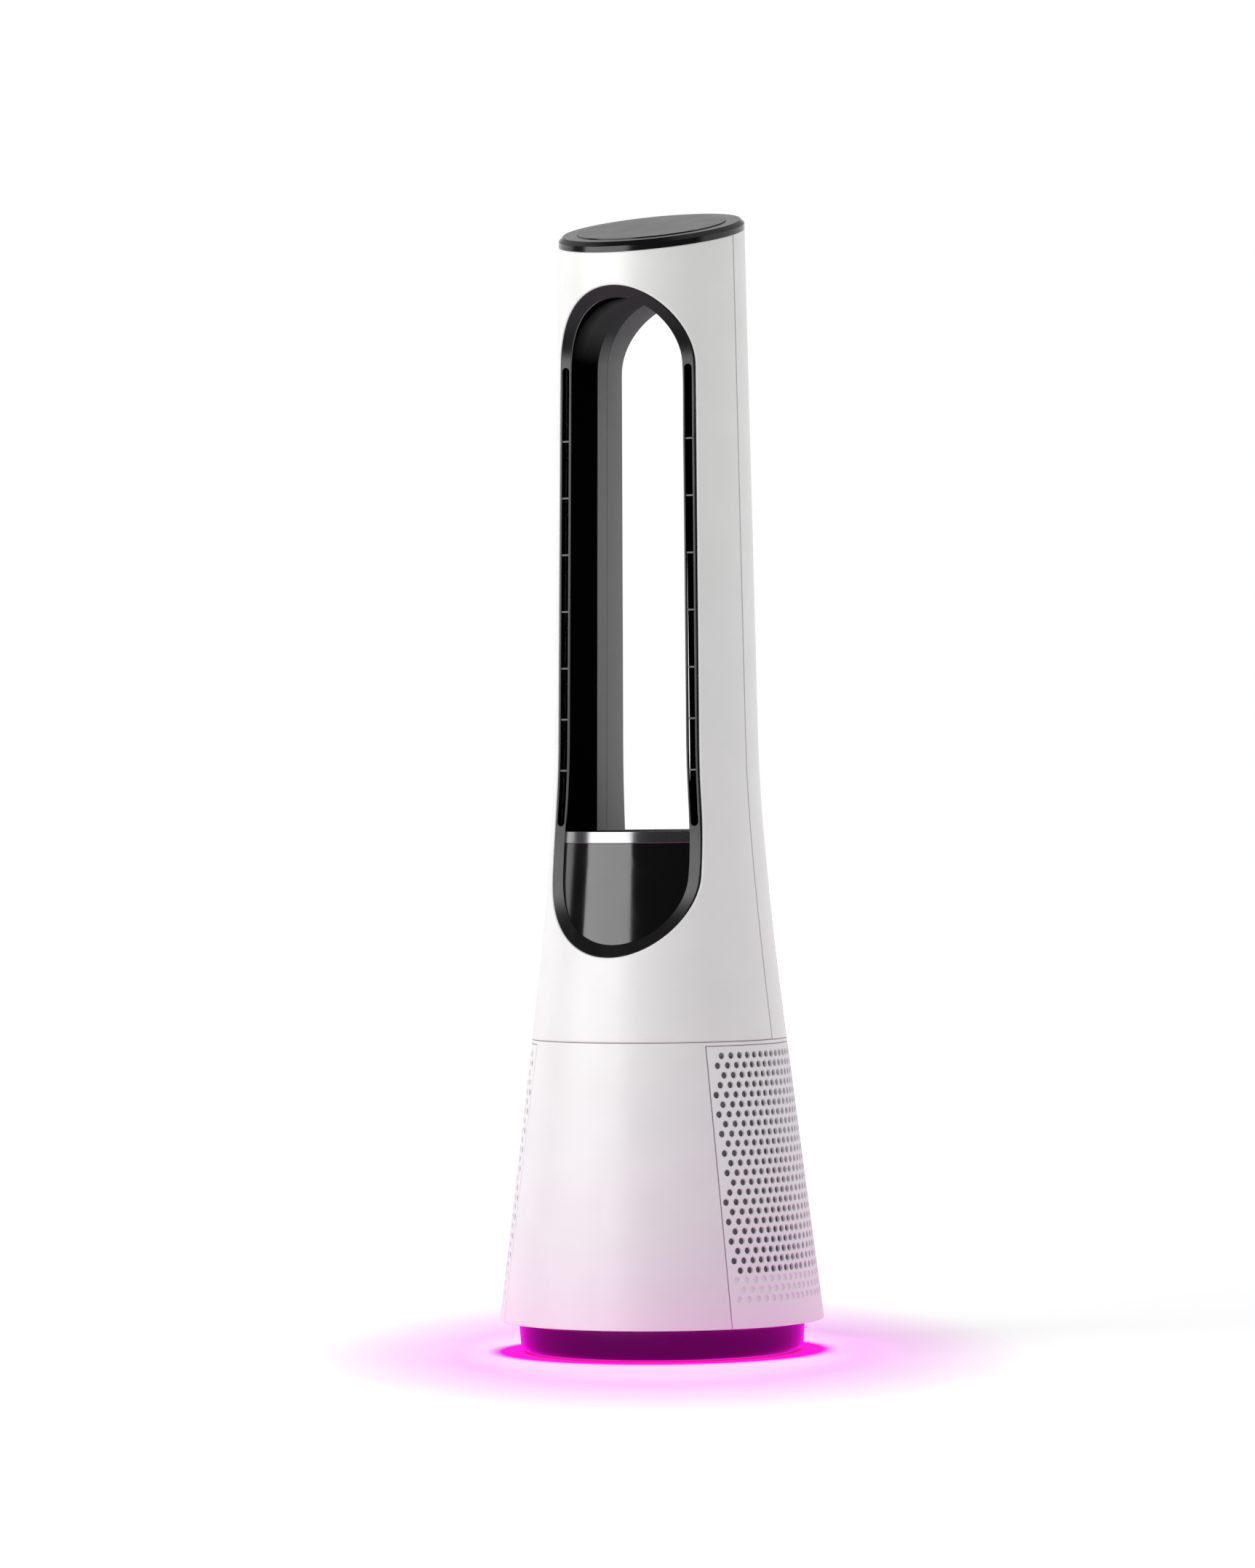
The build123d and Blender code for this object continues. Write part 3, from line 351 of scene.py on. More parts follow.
@dataclass(frozen=True)
class Moulding:
    """Moulded plastic with its mould texture, slight unevenness of tone and rounded edges, and where given
    painted shade: a darker colour towards the bottom and on the faces that look at the fan's axis.
    """

    name: str
    colour: Colour
    roughness: float
    texture: Texture = Texture.SATIN
    edge: float = 0.0004
    ior: float = 1.5
    level: float = 0.5
    metallic: float = 0.0
    # Painted shade: colour of the faces that look at the fan's axis, standing in for the shade inside the
    # housing.
    inside_shade: Colour | None = None
    # Painted shade: colour towards the bottom, and the two heights over which it fades out.
    low: Colour | None = None
    painted_shade_z: tuple[float, float] = (0.0, 1.0)
    shade: float = 0.965
    tone_scale: float = 28.0
    smear_scale: float = 45.0

    def make(self) -> bpy.types.Material:
        """Build the material.

        Returns:
            The material.
        """
        g = Graph(self.name)
        pitch, height, vary = self.texture.value
        cloud = g.spread(g.noise(self.tone_scale, 3.0), *NOISE_BAND)
        tone = g.mix(cloud, darker(self.colour, self.shade), self.colour)
        # Painted shade: darker towards the bottom.
        if self.low is not None:
            tone = g.mix(g.spread(g.axis("Z"), *self.painted_shade_z), self.low, tone)
        # Painted shade: the faces that look at the fan's axis take the dark inside colour.
        if self.inside_shade is not None:
            tone = g.mix(g.faces_inward(), tone, self.inside_shade)
        g.set("Base Color", tone)
        smear = g.noise(self.smear_scale, 4.0)
        g.set("Roughness", g.spread(smear, *NOISE_BAND, self.roughness - vary / 2, self.roughness + vary))
        g.set("Metallic", self.metallic)
        g.set("IOR", self.ior)
        g.set("Specular IOR Level", self.level)
        g.set("Normal", g.bump(g.noise(pitch, 2.0), height, g.rounded(self.edge)))
        return g.material


@dataclass(frozen=True)
class Lining:
    """Duct lining with painted light: deep black behind the mouth, a painted reflection in dark grey further
    in, and painted shade under the arch that goes black towards the mouth as a painted shadow under the ring.
    """

    name: str
    front: Colour
    rear: Colour
    change_y: float
    arch: Colour
    arch_z: tuple[float, float] = (0.706, 0.730)
    arch_shadow_y: tuple[float, float] = (-0.045, -0.022)
    change_half: float = 0.0006
    shade: float = 0.92
    roughness: tuple[float, float] = (0.42, 0.48)
    grain: float = 1500.0
    grain_depth: float = 0.000004
    edge: float = 0.0004

    def make(self) -> bpy.types.Material:
        """Build the material.

        Returns:
            The material.
        """
        g = Graph(self.name)
        # Painted reflection: without specular, the grey from change_y on stands in for what the wall mirrors.
        step = g.spread(g.axis("Y"), self.change_y - self.change_half, self.change_y + self.change_half)
        cloud = g.spread(g.noise(22.0, 3.0, (1.0, 1.0, 0.35)), *NOISE_BAND)
        rear = g.mix(cloud, darker(self.rear, self.shade), self.rear)
        # Painted shade under the arch, going to the front colour towards the mouth as a painted shadow under
        # the ring.
        arch = g.mix(g.spread(g.axis("Y"), *self.arch_shadow_y), self.front, self.arch)
        g.set("Base Color", g.mix(g.spread(g.axis("Z"), *self.arch_z), g.mix(step, self.front, rear), arch))
        g.set("Roughness", g.spread(g.noise(60.0, 3.0), *NOISE_BAND, *self.roughness))
        g.set("Specular IOR Level", 0.0)
        g.set("Normal", g.bump(g.noise(self.grain), self.grain_depth, g.rounded(self.edge)))
        return g.material


@dataclass(frozen=True)
class Metal:
    """Metal with the marks of how it was made."""

    name: str
    colour: Colour
    roughness: float
    pattern: Pattern
    metallic: float = 1.0
    shade: float = 0.82
    duller: float = 0.08
    edge: float = 0.0003

    def make(self) -> bpy.types.Material:
        """Build the material.

        Returns:
            The material.
        """
        g = Graph(self.name)
        marks, depth = self.marks(g)
        g.set("Base Color", g.mix(g.spread(marks, *NOISE_BAND), darker(self.colour, self.shade), self.colour))
        g.set("Roughness", g.spread(marks, *WIDE_BAND, self.roughness + self.duller, self.roughness))
        g.set("Metallic", self.metallic)
        g.set("Normal", g.bump(marks, depth, g.rounded(self.edge)))
        return g.material

    def marks(self, g: Graph) -> tuple[Socket, float]:
        """Pattern of the surface and its height in metres.

        Args:
            g: the graph to build in.

        Returns:
            The pattern's output, and its height.
        """
        if self.pattern is Pattern.CAST:
            return g.noise(420.0, 6.0), 0.00035
        if self.pattern is Pattern.ROLLED:
            return g.noise(900.0, 4.0, (0.06, 1.0, 1.0)), 0.00001
        along = g.node("ShaderNodeCombineXYZ")
        rings = g.node("ShaderNodeTexNoise", noise_dimensions="2D")
        if self.pattern is Pattern.TURNED:
            g.feed(along.inputs[0], g.radius())
        g.feed(along.inputs[1], g.axis("Z"))
        g.feed(rings.inputs["Vector"], along.outputs[0])
        rings.inputs["Scale"].default_value = 2600.0
        rings.inputs["Detail"].default_value = 1.0
        return rings.outputs["Fac"], 0.00001 if self.pattern is Pattern.TURNED else 0.00006


@dataclass(frozen=True)
class Fibre:
    """Pressed fibres of a filter, or the open cells of a foam."""

    name: str
    colour: Colour
    open_cells: bool
    shade: float = 0.72
    dust: Colour = (0.42, 0.41, 0.39)
    dust_share: float = 0.25
    roughness: tuple[float, float] = (0.98, 0.86)
    depth: float = 0.00018

    def make(self) -> bpy.types.Material:
        """Build the material.

        Returns:
            The material.
        """
        g = Graph(self.name)
        strands = g.cells(1300.0) if self.open_cells else g.noise(1600.0, 5.0, (1.0, 1.0, 0.22))
        dust = g.spread(g.noise(70.0, 4.0), 0.35, 0.75)
        tone = g.mix(g.spread(strands, 0.25, 0.75), darker(self.colour, self.shade), self.colour)
        g.set("Base Color", g.mix(g.math("MULTIPLY", dust, self.dust_share), tone, self.dust))
        g.set("Roughness", g.spread(strands, *WIDE_BAND, *self.roughness))
        g.set("Specular IOR Level", 0.2)
        g.set("Sheen Weight", 0.25)
        g.set("Normal", g.bump(strands, self.depth))
        return g.material


@dataclass(frozen=True)
class Rubber:
    """Soft rubber with a fine matt skin and a little dust."""

    name: str
    colour: Colour
    dust: Colour = (0.2, 0.19, 0.18)
    roughness: tuple[float, float] = (0.72, 0.86)
    grain: float = 2200.0
    grain_depth: float = 0.00003
    edge: float = 0.0005

    def make(self) -> bpy.types.Material:
        """Build the material.

        Returns:
            The material.
        """
        g = Graph(self.name)
        dust = g.spread(g.noise(160.0, 5.0), 0.45, 0.8, 0.0, 0.3)
        g.set("Base Color", g.mix(dust, self.colour, self.dust))
        g.set("Roughness", g.spread(g.noise(300.0), *NOISE_BAND, *self.roughness))
        g.set("Specular IOR Level", 0.3)
        g.set("Normal", g.bump(g.cells(self.grain), self.grain_depth, g.rounded(self.edge)))
        return g.material


@dataclass(frozen=True)
class Circuit:
    """Circuit board: solder mask over a grid of tracks, with bare pads between them."""

    name: str
    mask: Colour
    track: Colour
    pad: Colour
    pitch: float = 240.0
    track_half: tuple[float, float] = (0.06, 0.09)
    pad_r: tuple[float, float] = (0.14, 0.17)
    roughness: tuple[float, float] = (0.3, 0.42)
    depth: float = 0.00004

    def make(self) -> bpy.types.Material:
        """Build the material.

        Returns:
            The material.
        """
        g = Graph(self.name)
        tracks = g.spread(g.cells(self.pitch, "DISTANCE_TO_EDGE"), *self.track_half, 1.0, 0.0)
        pads = g.spread(g.cells(self.pitch), *self.pad_r, 1.0, 0.0)
        g.set("Base Color", g.mix(pads, g.mix(tracks, self.mask, self.track), self.pad))
        g.set("Metallic", pads)
        g.set("Roughness", g.spread(g.noise(500.0), *NOISE_BAND, *self.roughness))
        g.set("Normal", g.bump(tracks, self.depth))
        return g.material


@dataclass(frozen=True)
class Diffuser:
    """Milky plastic over a ring of lamps, brighter over each lamp."""

    name: str
    glow: Colour
    strength: float
    lamps: int
    shade: float = 0.72
    milk: tuple[Colour, Colour] = ((0.78, 0.7, 0.77), (0.84, 0.76, 0.83))
    roughness: tuple[float, float] = (0.5, 0.6)

    def make(self) -> bpy.types.Material:
        """Build the material.

        Returns:
            The material.
        """
        g = Graph(self.name)
        turn = g.math("ARCTAN2", g.axis("Y"), g.axis("X"))
        spots = g.spread(g.math("SINE", g.math("MULTIPLY", turn, float(self.lamps))), -1.0, 1.0)
        g.set("Base Color", g.mix(g.spread(g.noise(500.0), *NOISE_BAND), *self.milk))
        g.set("Emission Color", g.mix(spots, darker(self.glow, self.shade), self.glow))
        g.set("Emission Strength", self.strength)
        g.set("Roughness", g.spread(g.noise(800.0), *NOISE_BAND, *self.roughness))
        return g.material


# ---------------------------------------------------------------- modelling helpers

def deselect() -> None:
    """Leave object mode with nothing selected, so that an operator acts only on what it should."""
    if bpy.context.mode != "OBJECT":
        bpy.ops.object.mode_set(mode="OBJECT")
    bpy.ops.object.select_all(action="DESELECT")


def take(piece: bpy.types.Object) -> None:
    """Select one object alone and make it active."""
    deselect()
    piece.select_set(True)
    bpy.context.view_layer.objects.active = piece


def settle(piece: bpy.types.Object) -> None:
    """Move an object's place, turn and scale into its mesh."""
    take(piece)
    bpy.ops.object.transform_apply(location=True, rotation=True, scale=True)


def thicken(piece: bpy.types.Object, thickness: float) -> None:
    """Give an open wall its thickness, inwards.

    Args:
        piece: the wall.
        thickness: its thickness in metres.
    """
    wall = piece.modifiers.new("Wall", "SOLIDIFY")
    wall.thickness = thickness
    wall.offset = -1.0


def round_edges(piece: bpy.types.Object, width: float, segments: int) -> None:
    """Round a piece's sharp edges.

    Args:
        piece: the object.
        width: the rounding's width in metres.
        segments: its number of facets.
    """
    border = piece.modifiers.new("Border", "BEVEL")
    border.width = width
    border.segments = segments
    border.limit_method = "ANGLE"
    border.angle_limit = ROUNDED_ANGLE


def finish_modifiers(piece: bpy.types.Object) -> None:
    """Apply every modifier in order, and leave the piece selected alone."""
    take(piece)
    for modifier in list(piece.modifiers):
        bpy.ops.object.modifier_apply(modifier=modifier.name)


def open_cone(name: str, low: tuple[float, float], high: tuple[float, float], sides: int) -> bpy.types.Object:
    """Cone wall without ends, round the fan's axis.

    Args:
        name: the object's name.
        low: height and radius of its lower edge.
        high: height and radius of its upper edge.
        sides: number of facets.

    Returns:
        The object, selected and active, with its place in its mesh.
    """
    deselect()
    bpy.ops.mesh.primitive_cone_add(vertices=sides, radius1=low[1], radius2=high[1], depth=high[0] - low[0],
                                    end_fill_type="NOTHING", location=(0.0, 0.0, (low[0] + high[0]) / 2))
    piece = bpy.context.object
    piece.name = name
    settle(piece)
    return piece


def bisect(piece: bpy.types.Object, at: Vector, normal: Vector) -> None:
    """Cut a mesh by a plane and keep the side that the normal points to.

    Args:
        piece: the object.
        at: a point on the plane.
        normal: the plane's normal.
    """
    take(piece)
    bpy.ops.object.mode_set(mode="EDIT")
    bpy.ops.mesh.select_all(action="SELECT")
    bpy.ops.mesh.bisect(plane_co=at, plane_no=normal, clear_inner=True)
    bpy.ops.object.mode_set(mode="OBJECT")


def turned_bar(name: str, stations: tuple[tuple[float, float], ...], sides: int) -> bpy.types.Object:
    """Solid of revolution along Z, extruded station by station.

    Args:
        name: the object's name.
        stations: height and radius of each station, from low to high.
        sides: number of facets.

    Returns:
        The object.
    """
    deselect()
    height, radius = stations[0]
    bpy.ops.mesh.primitive_circle_add(vertices=sides, radius=radius, fill_type="NGON",
                                      location=(0.0, 0.0, height))
    piece = bpy.context.object
    piece.name = name
    settle(piece)
    bpy.ops.object.mode_set(mode="EDIT")
    bpy.ops.mesh.select_all(action="SELECT")
    for next_height, next_radius in stations[1:]:
        bpy.ops.mesh.extrude_region_move(TRANSFORM_OT_translate={"value": (0.0, 0.0, next_height - height)})
        factor = next_radius / radius
        bpy.ops.transform.resize(value=(factor, factor, 1.0))
        height, radius = next_height, next_radius
    bpy.ops.mesh.select_all(action="SELECT")
    bpy.ops.mesh.normals_make_consistent(inside=False)
    bpy.ops.object.mode_set(mode="OBJECT")
    return piece


def dress(node: str, finish: bpy.types.Material) -> None:
    """Give a CAD node its finish.

    Args:
        node: the node's name.
        finish: the material.
    """
    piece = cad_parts[node]
    if not piece.material_slots:
        piece.data.materials.append(finish)
    for slot in piece.material_slots:
        slot.material = finish


# ---------------------------------------------------------------- sub-assemblies

@dataclass
class Housing:
    """White flared housing with its perforated rear cover and the filter behind it."""

    skirt_z: float = 0.023
    skirt_r: float = 0.1158
    seam_z: float = 0.2234
    seam_r: float = 0.0912
    cover_top: float = 0.220375
    cover_wall: float = 0.0022
    cover_sides: int = 288
    cover_edge: float = 0.0005
    edge_y: float = -0.063
    edge_z: float = 0.220725
    edge_rake: float = math.radians(2.95)
    hole_r: float = 0.0024
    rim_r: float = 0.0028
    rim_depth: float = 0.0004
    drill_depth: float = 0.0035
    drill_sides: int = 12
    skin_match: float = 0.99
    dimple: tuple[tuple[float, float], ...] = (
        (-0.0011, 0.0014), (-0.000935, 0.0021), (-0.00055, 0.0024), (0.0, 0.00255), (0.0008, 0.0026))
    first_row_z: float = 0.21368
    row_pitch: float = 0.006824
    open_rows: int = 23
    blind_rows: int = 3
    pitch: tuple[float, float] = (0.00652, 0.00662)
    column_y: tuple[float, float] = (-0.0024, -0.0032)
    rear_columns: int = 22
    edge_margin: float = 0.0029
    filter_gap: float = 0.0007
    filter_depth: float = 0.0046
    filter_low: float = 0.0404
    filter_high: float = 0.2166
    filter_front: float = 0.0046
    filter_sides: int = 144
    net_wall: float = 0.0004
    net_end: float = 0.0006
    pleats: int = 150
    pleat_end: float = 0.003
    pleat_gap: float = 0.0001
    pleat_rest: float = 0.0007
    end_match: float = 0.001
    paper_wall: float = 0.0005
    strip_h: float = 0.0034
    strip_lap: float = 0.0001
    strip_edge: float = 0.0005

    def skin_r(self, z: float) -> float:
        """Radius of the skin at a height."""
        return self.seam_r + (self.skirt_r - self.seam_r) * (self.seam_z - z) / (self.seam_z - self.skirt_z)

    def slope(self) -> float:
        """Angle in radians by which the skin leans inwards on its way up."""
        return math.atan2(self.skirt_r - self.seam_r, self.seam_z - self.skirt_z)

    def edge_plane(self, shift: float) -> tuple[Vector, Vector]:
        """Raked plane of the cover's front edges.

        Args:
            shift: how far the plane is moved to the rear.

        Returns:
            A point on it, and its normal to the rear.
        """
        normal = Vector((0.0, math.cos(self.edge_rake), -math.sin(self.edge_rake)))
        return Vector((0.0, self.edge_y, self.edge_z)) + shift * normal, normal

    def build_cover(self) -> bpy.types.Object:
        """Model the cover: a cone wall cut off by the raked plane, then drilled.

        Returns:
            The cover.
        """
        low = (self.skirt_z, self.skirt_r)
        high = (self.cover_top, self.skin_r(self.cover_top))
        cover = open_cone("intake_grille", low, high, self.cover_sides)
        bisect(cover, *self.edge_plane(0.0))
        thicken(cover, self.cover_wall)
        round_edges(cover, self.cover_edge, 3)
        finish_modifiers(cover)
        drills = self.build_drills()
        holes = cover.modifiers.new("Holes", "BOOLEAN")
        holes.operation = "DIFFERENCE"
        holes.solver = "MANIFOLD"
        holes.object = drills
        finish_modifiers(cover)
        bpy.data.objects.remove(drills)
        self.smooth_skin(cover)
        return cover

    def azimuths(self, row: int) -> list[float]:
        """Azimuths in radians of the holes of one row, on both sides.

        The columns are evenly spaced along Y on each side, and by angle round the rear.

        Args:
            row: the row's number from the top.

        Returns:
            The azimuths.
        """
        z = self.first_row_z - row * self.row_pitch
        radius = self.skin_r(z)
        share = row / (self.open_rows + self.blind_rows - 1)
        pitch, column_y = (high + (low - high) * share for high, low in (self.pitch, self.column_y))
        odd = row % 2
        at, normal = self.edge_plane(self.edge_margin)
        side = []
        y = column_y - 0.5 * odd * pitch
        while Vector((0.0, y - at.y, z - at.z)).dot(normal) > 0.0:
            side.append(math.acos(-y / radius))
            y -= pitch
        first = math.acos(-column_y / radius)
        step = (math.pi - first) / self.rear_columns
        rear = [first + (index + 0.5 * odd) * step for index in range(1 - odd, self.rear_columns)]
        middle = [] if odd else [math.pi]
        return side + rear + middle + [-azimuth for azimuth in side + rear]

    def build_drills(self) -> bpy.types.Object:
        """Model one drill and one dimple cutter, and copy them to every place of the pattern.

        Returns:
            All the cutters as one object.
        """
        sink = self.rim_r - self.hole_r
        hole = ((-self.drill_depth, self.hole_r), (-self.rim_depth, self.hole_r), (sink, self.rim_r + sink))
        drill = turned_bar("drill", hole, self.drill_sides)
        dimple = turned_bar("dimple", self.dimple, self.drill_sides)
        outwards = Matrix.Rotation(math.pi / 2 - self.slope(), 4, "X")
        facet = math.tau / self.cover_sides
        pattern = bmesh.new()
        for row in range(self.open_rows + self.blind_rows):
            z = self.first_row_z - row * self.row_pitch
            depth = self.skin_r(z) * math.cos(facet / 2)
            cutter = drill if row < self.open_rows else dimple
            for azimuth in self.azimuths(row):
                before = len(pattern.verts)
                pattern.from_mesh(cutter.data)
                pattern.verts.ensure_lookup_table()
                place = Matrix.Rotation(azimuth, 4, "Z") @ Matrix.Translation((0.0, -depth, z))
                bmesh.ops.transform(pattern, matrix=place @ outwards, verts=pattern.verts[before:])
        mesh = bpy.data.meshes.new("cutters")
        pattern.to_mesh(mesh)
        pattern.free()
        bpy.data.objects.remove(drill)
        bpy.data.objects.remove(dimple)
        cutters = bpy.data.objects.new("cutters", mesh)
        bpy.context.collection.objects.link(cutters)
        return cutters

    def smooth_skin(self, cover: bpy.types.Object) -> None:
        """Shade the drilled skin as the true cone, and keep the holes' edges crisp.

        Args:
            cover: the drilled cover.
        """
        take(cover)
        bpy.ops.object.shade_smooth_by_angle(angle=CREASE_ANGLE)
        rise = Vector((0.0, 0.0, math.sin(self.slope())))
        mesh = cover.data
        normals = [Vector(corner.vector) for corner in mesh.corner_normals]
        for face in mesh.polygons:
            for loop in face.loop_indices:
                place = mesh.vertices[mesh.loops[loop].vertex_index].co
                flat = Vector((place.x, place.y, 0.0)).normalized()
                true = math.cos(self.slope()) * flat + rise
                side = face.normal.dot(true)
                if abs(side) > self.skin_match:
                    normals[loop] = math.copysign(1.0, side) * true
        mesh.normals_split_custom_set(normals)

    def build_filter(self) -> bpy.types.Object:
        """Model the pleated filter: a cone wall folded in and out, with a frame at its ends.

        Returns:
            The filter.
        """
        inset = self.cover_wall + self.filter_gap + self.net_wall + self.pleat_gap
        ends = (self.filter_low + self.pleat_end, self.filter_high - self.pleat_end)
        outer = [(z, self.skin_r(z) - inset) for z in ends]
        pleated = open_cone("pleated_filter", outer[0], outer[1], 2 * self.pleats)
        bpy.ops.object.mode_set(mode="EDIT")
        for z, radius in outer:
            bpy.ops.mesh.select_all(action="DESELECT")
            work = bmesh.from_edit_mesh(pleated.data)
            for vertex in work.verts:
                turn = math.atan2(vertex.co.y, vertex.co.x) / (math.pi / self.pleats)
                vertex.select = abs(vertex.co.z - z) < self.end_match and round(turn) % 2 == 1
            work.select_flush(True)
            bmesh.update_edit_mesh(pleated.data)
            factor = (radius - self.filter_depth + self.net_wall + self.pleat_rest) / radius
            bpy.ops.transform.resize(value=(factor, factor, 1.0))
        bpy.ops.object.mode_set(mode="OBJECT")
        bisect(pleated, *self.edge_plane(self.filter_front))
        thicken(pleated, self.paper_wall)
        finish_modifiers(pleated)
        frames = [self.filter_frame(z) for z in (self.filter_low, self.filter_high - self.strip_h)]
        deselect()
        for part in (*frames, pleated):
            part.select_set(True)
        bpy.context.view_layer.objects.active = pleated
        bpy.ops.object.join()
        return pleated

    def build_net(self) -> bpy.types.Object:
        """Model the fine net that covers the pleats.

        Returns:
            The net.
        """
        inset = self.cover_wall + self.filter_gap
        ends = (self.filter_low + self.net_end, self.filter_high - self.net_end)
        net = open_cone("filter_net", *((z, self.skin_r(z) - inset) for z in ends), self.filter_sides)
        bisect(net, *self.edge_plane(self.filter_front))
        thicken(net, self.net_wall)
        finish_modifiers(net)
        bpy.ops.object.shade_smooth_by_angle(angle=CREASE_ANGLE)
        return net

    def filter_frame(self, low: float) -> bpy.types.Object:
        """Rigid strip that holds the pleats along one end.

        Args:
            low: height of its lower side.

        Returns:
            The strip.
        """
        inset = self.cover_wall + self.filter_gap - self.strip_lap
        ends = (low, low + self.strip_h)
        strip = open_cone("strip", *((z, self.skin_r(z) - inset) for z in ends), self.filter_sides)
        bisect(strip, *self.edge_plane(self.filter_front))
        thicken(strip, self.filter_depth + 2.0 * self.strip_lap)
        round_edges(strip, self.strip_edge, 2)
        finish_modifiers(strip)
        return strip

    def dress_all(self, finishes: dict[str, bpy.types.Material]) -> None:
        """Build the new pieces and finish the housing.

        Args:
            finishes: materials by name.
        """
        dress("lower_housing", finishes["white_shell"])
        dress("column_deck", finishes["inner_pale"])
        cover = self.build_cover()
        cover.data.materials.append(finishes["white_shell"])
        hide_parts("intake_cover")
        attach(cover, "tower")
        log.info("intake_grille: %d faces", len(cover.data.polygons))
        pleated = self.build_filter()
        pleated.data.materials.append(finishes["filter_paper"])
        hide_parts("intake_filter")
        net = self.build_net()
        net.data.materials.append(finishes["filter_net"])
        for part in (pleated, net):
            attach(part, "tower")
            log.info("%s: %d faces", part.name, len(part.data.polygons))


@dataclass
class FanUnit:
    """Motor, impeller and ducts inside the housing."""

    gasket_low: float = 0.196
    gasket_h: float = 0.003
    gasket_inner_r: float = 0.066
    gasket_outer_r: float = 0.07
    gasket_edge: float = 0.0009

    def build_gasket(self) -> bpy.types.Object:
        """Model the foam ring between casing and duct, squeezed rounder than it was cut.

        Returns:
            The ring.
        """
        high = self.gasket_low + self.gasket_h
        ring = open_cone("duct_seal", (self.gasket_low, self.gasket_outer_r), (high, self.gasket_outer_r), 96)
        thicken(ring, self.gasket_outer_r - self.gasket_inner_r)
        round_edges(ring, self.gasket_edge, 4)
        finish_modifiers(ring)
        bpy.ops.object.shade_smooth_by_angle(angle=ROUNDED_ANGLE)
        return ring

    def dress_all(self, finishes: dict[str, bpy.types.Material]) -> None:
        """Finish every part of the fan.

        Args:
            finishes: materials by name.
        """
        for node in ("fan_stand", "bellmouth", "fan_casing", "duct_adaptor", "air_guides"):
            dress(node, finishes["inner_dark"])
        for node in ("impeller", "diffuser", "pod_cap", "crown_plate"):
            dress(node, finishes["inner_pale"])
        for node in ("motor_shaft", "motor_bearings", "impeller_nut"):
            dress(node, finishes["turned_steel"])
        dress("fan_motor", finishes["rolled_steel"])
        dress("motor_rotor", finishes["laminated"])
        dress("motor_stator", finishes["copper"])
        dress("motor_mounts", finishes["rubber"])
        ring = self.build_gasket()
        ring.data.materials.append(finishes["foam"])
        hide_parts("duct_gasket")
        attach(ring, "tower")
        log.info("duct_seal: %d faces", len(ring.data.polygons))


@dataclass
class Foot:
    """Glossy dark foot with the swing bearing and the lit ring over it."""

    steel_nodes: tuple[str, ...] = ("base_plate", "motor_bracket", "swing_motor")
    turned_nodes: tuple[str, ...] = ("pivot_post", "pivot_nut", "swing_shaft", "base_screws", "post_screws")
    pale_nodes: tuple[str, ...] = ("glide_ring", "ring_gear", "swing_pinion")

    def dress_all(self, finishes: dict[str, bpy.types.Material]) -> None:
        """Finish every part of the foot and its drive.

        Args:
            finishes: materials by name.
        """
        pairs = {"foot_shell": "foot_gloss", "ballast": "cast_iron", "rubber_feet": "rubber",
                 "power_inlet": "inner_dark", "turntable_floor": "inner_dark", "light_ring": "light_ring",
                 "led_ring_board": "circuit"}
        pairs |= dict.fromkeys(self.steel_nodes, "rolled_steel")
        pairs |= dict.fromkeys(self.turned_nodes, "turned_steel")
        pairs |= dict.fromkeys(self.pale_nodes, "inner_pale")
        for node, key in pairs.items():
            dress(node, finishes[key])
        log.info("foot and drive: %d nodes finished", len(pairs))


@dataclass
class Column:
    """White column with the air loop and the slanted top."""

    boards: tuple[str, ...] = ("main_board", "display_board", "touch_board")

    def dress_all(self, finishes: dict[str, bpy.types.Material]) -> None:
        """Finish every part of the column.

        Args:
            finishes: materials by name.
        """
        for node in self.boards:
            dress(node, finishes["circuit"])
        pairs = {"front_shell": "white_mouth", "rear_shell": "white_shell", "bezel": "bezel",
                 "slot_ribs": "rib", "tunnel_front": "lining_front", "tunnel_rear": "lining_rear",
                 "display_panel": "panel_gloss", "sill_trim": "silver", "top_rim": "rim_gloss",
                 "touch_glass": "touch_glass", "board_parts": "inner_dark"}
        for node, key in pairs.items():
            dress(node, finishes[key])
        log.info("column: %d nodes finished", len(self.boards) + len(pairs))


# ---------------------------------------------------------------- studio

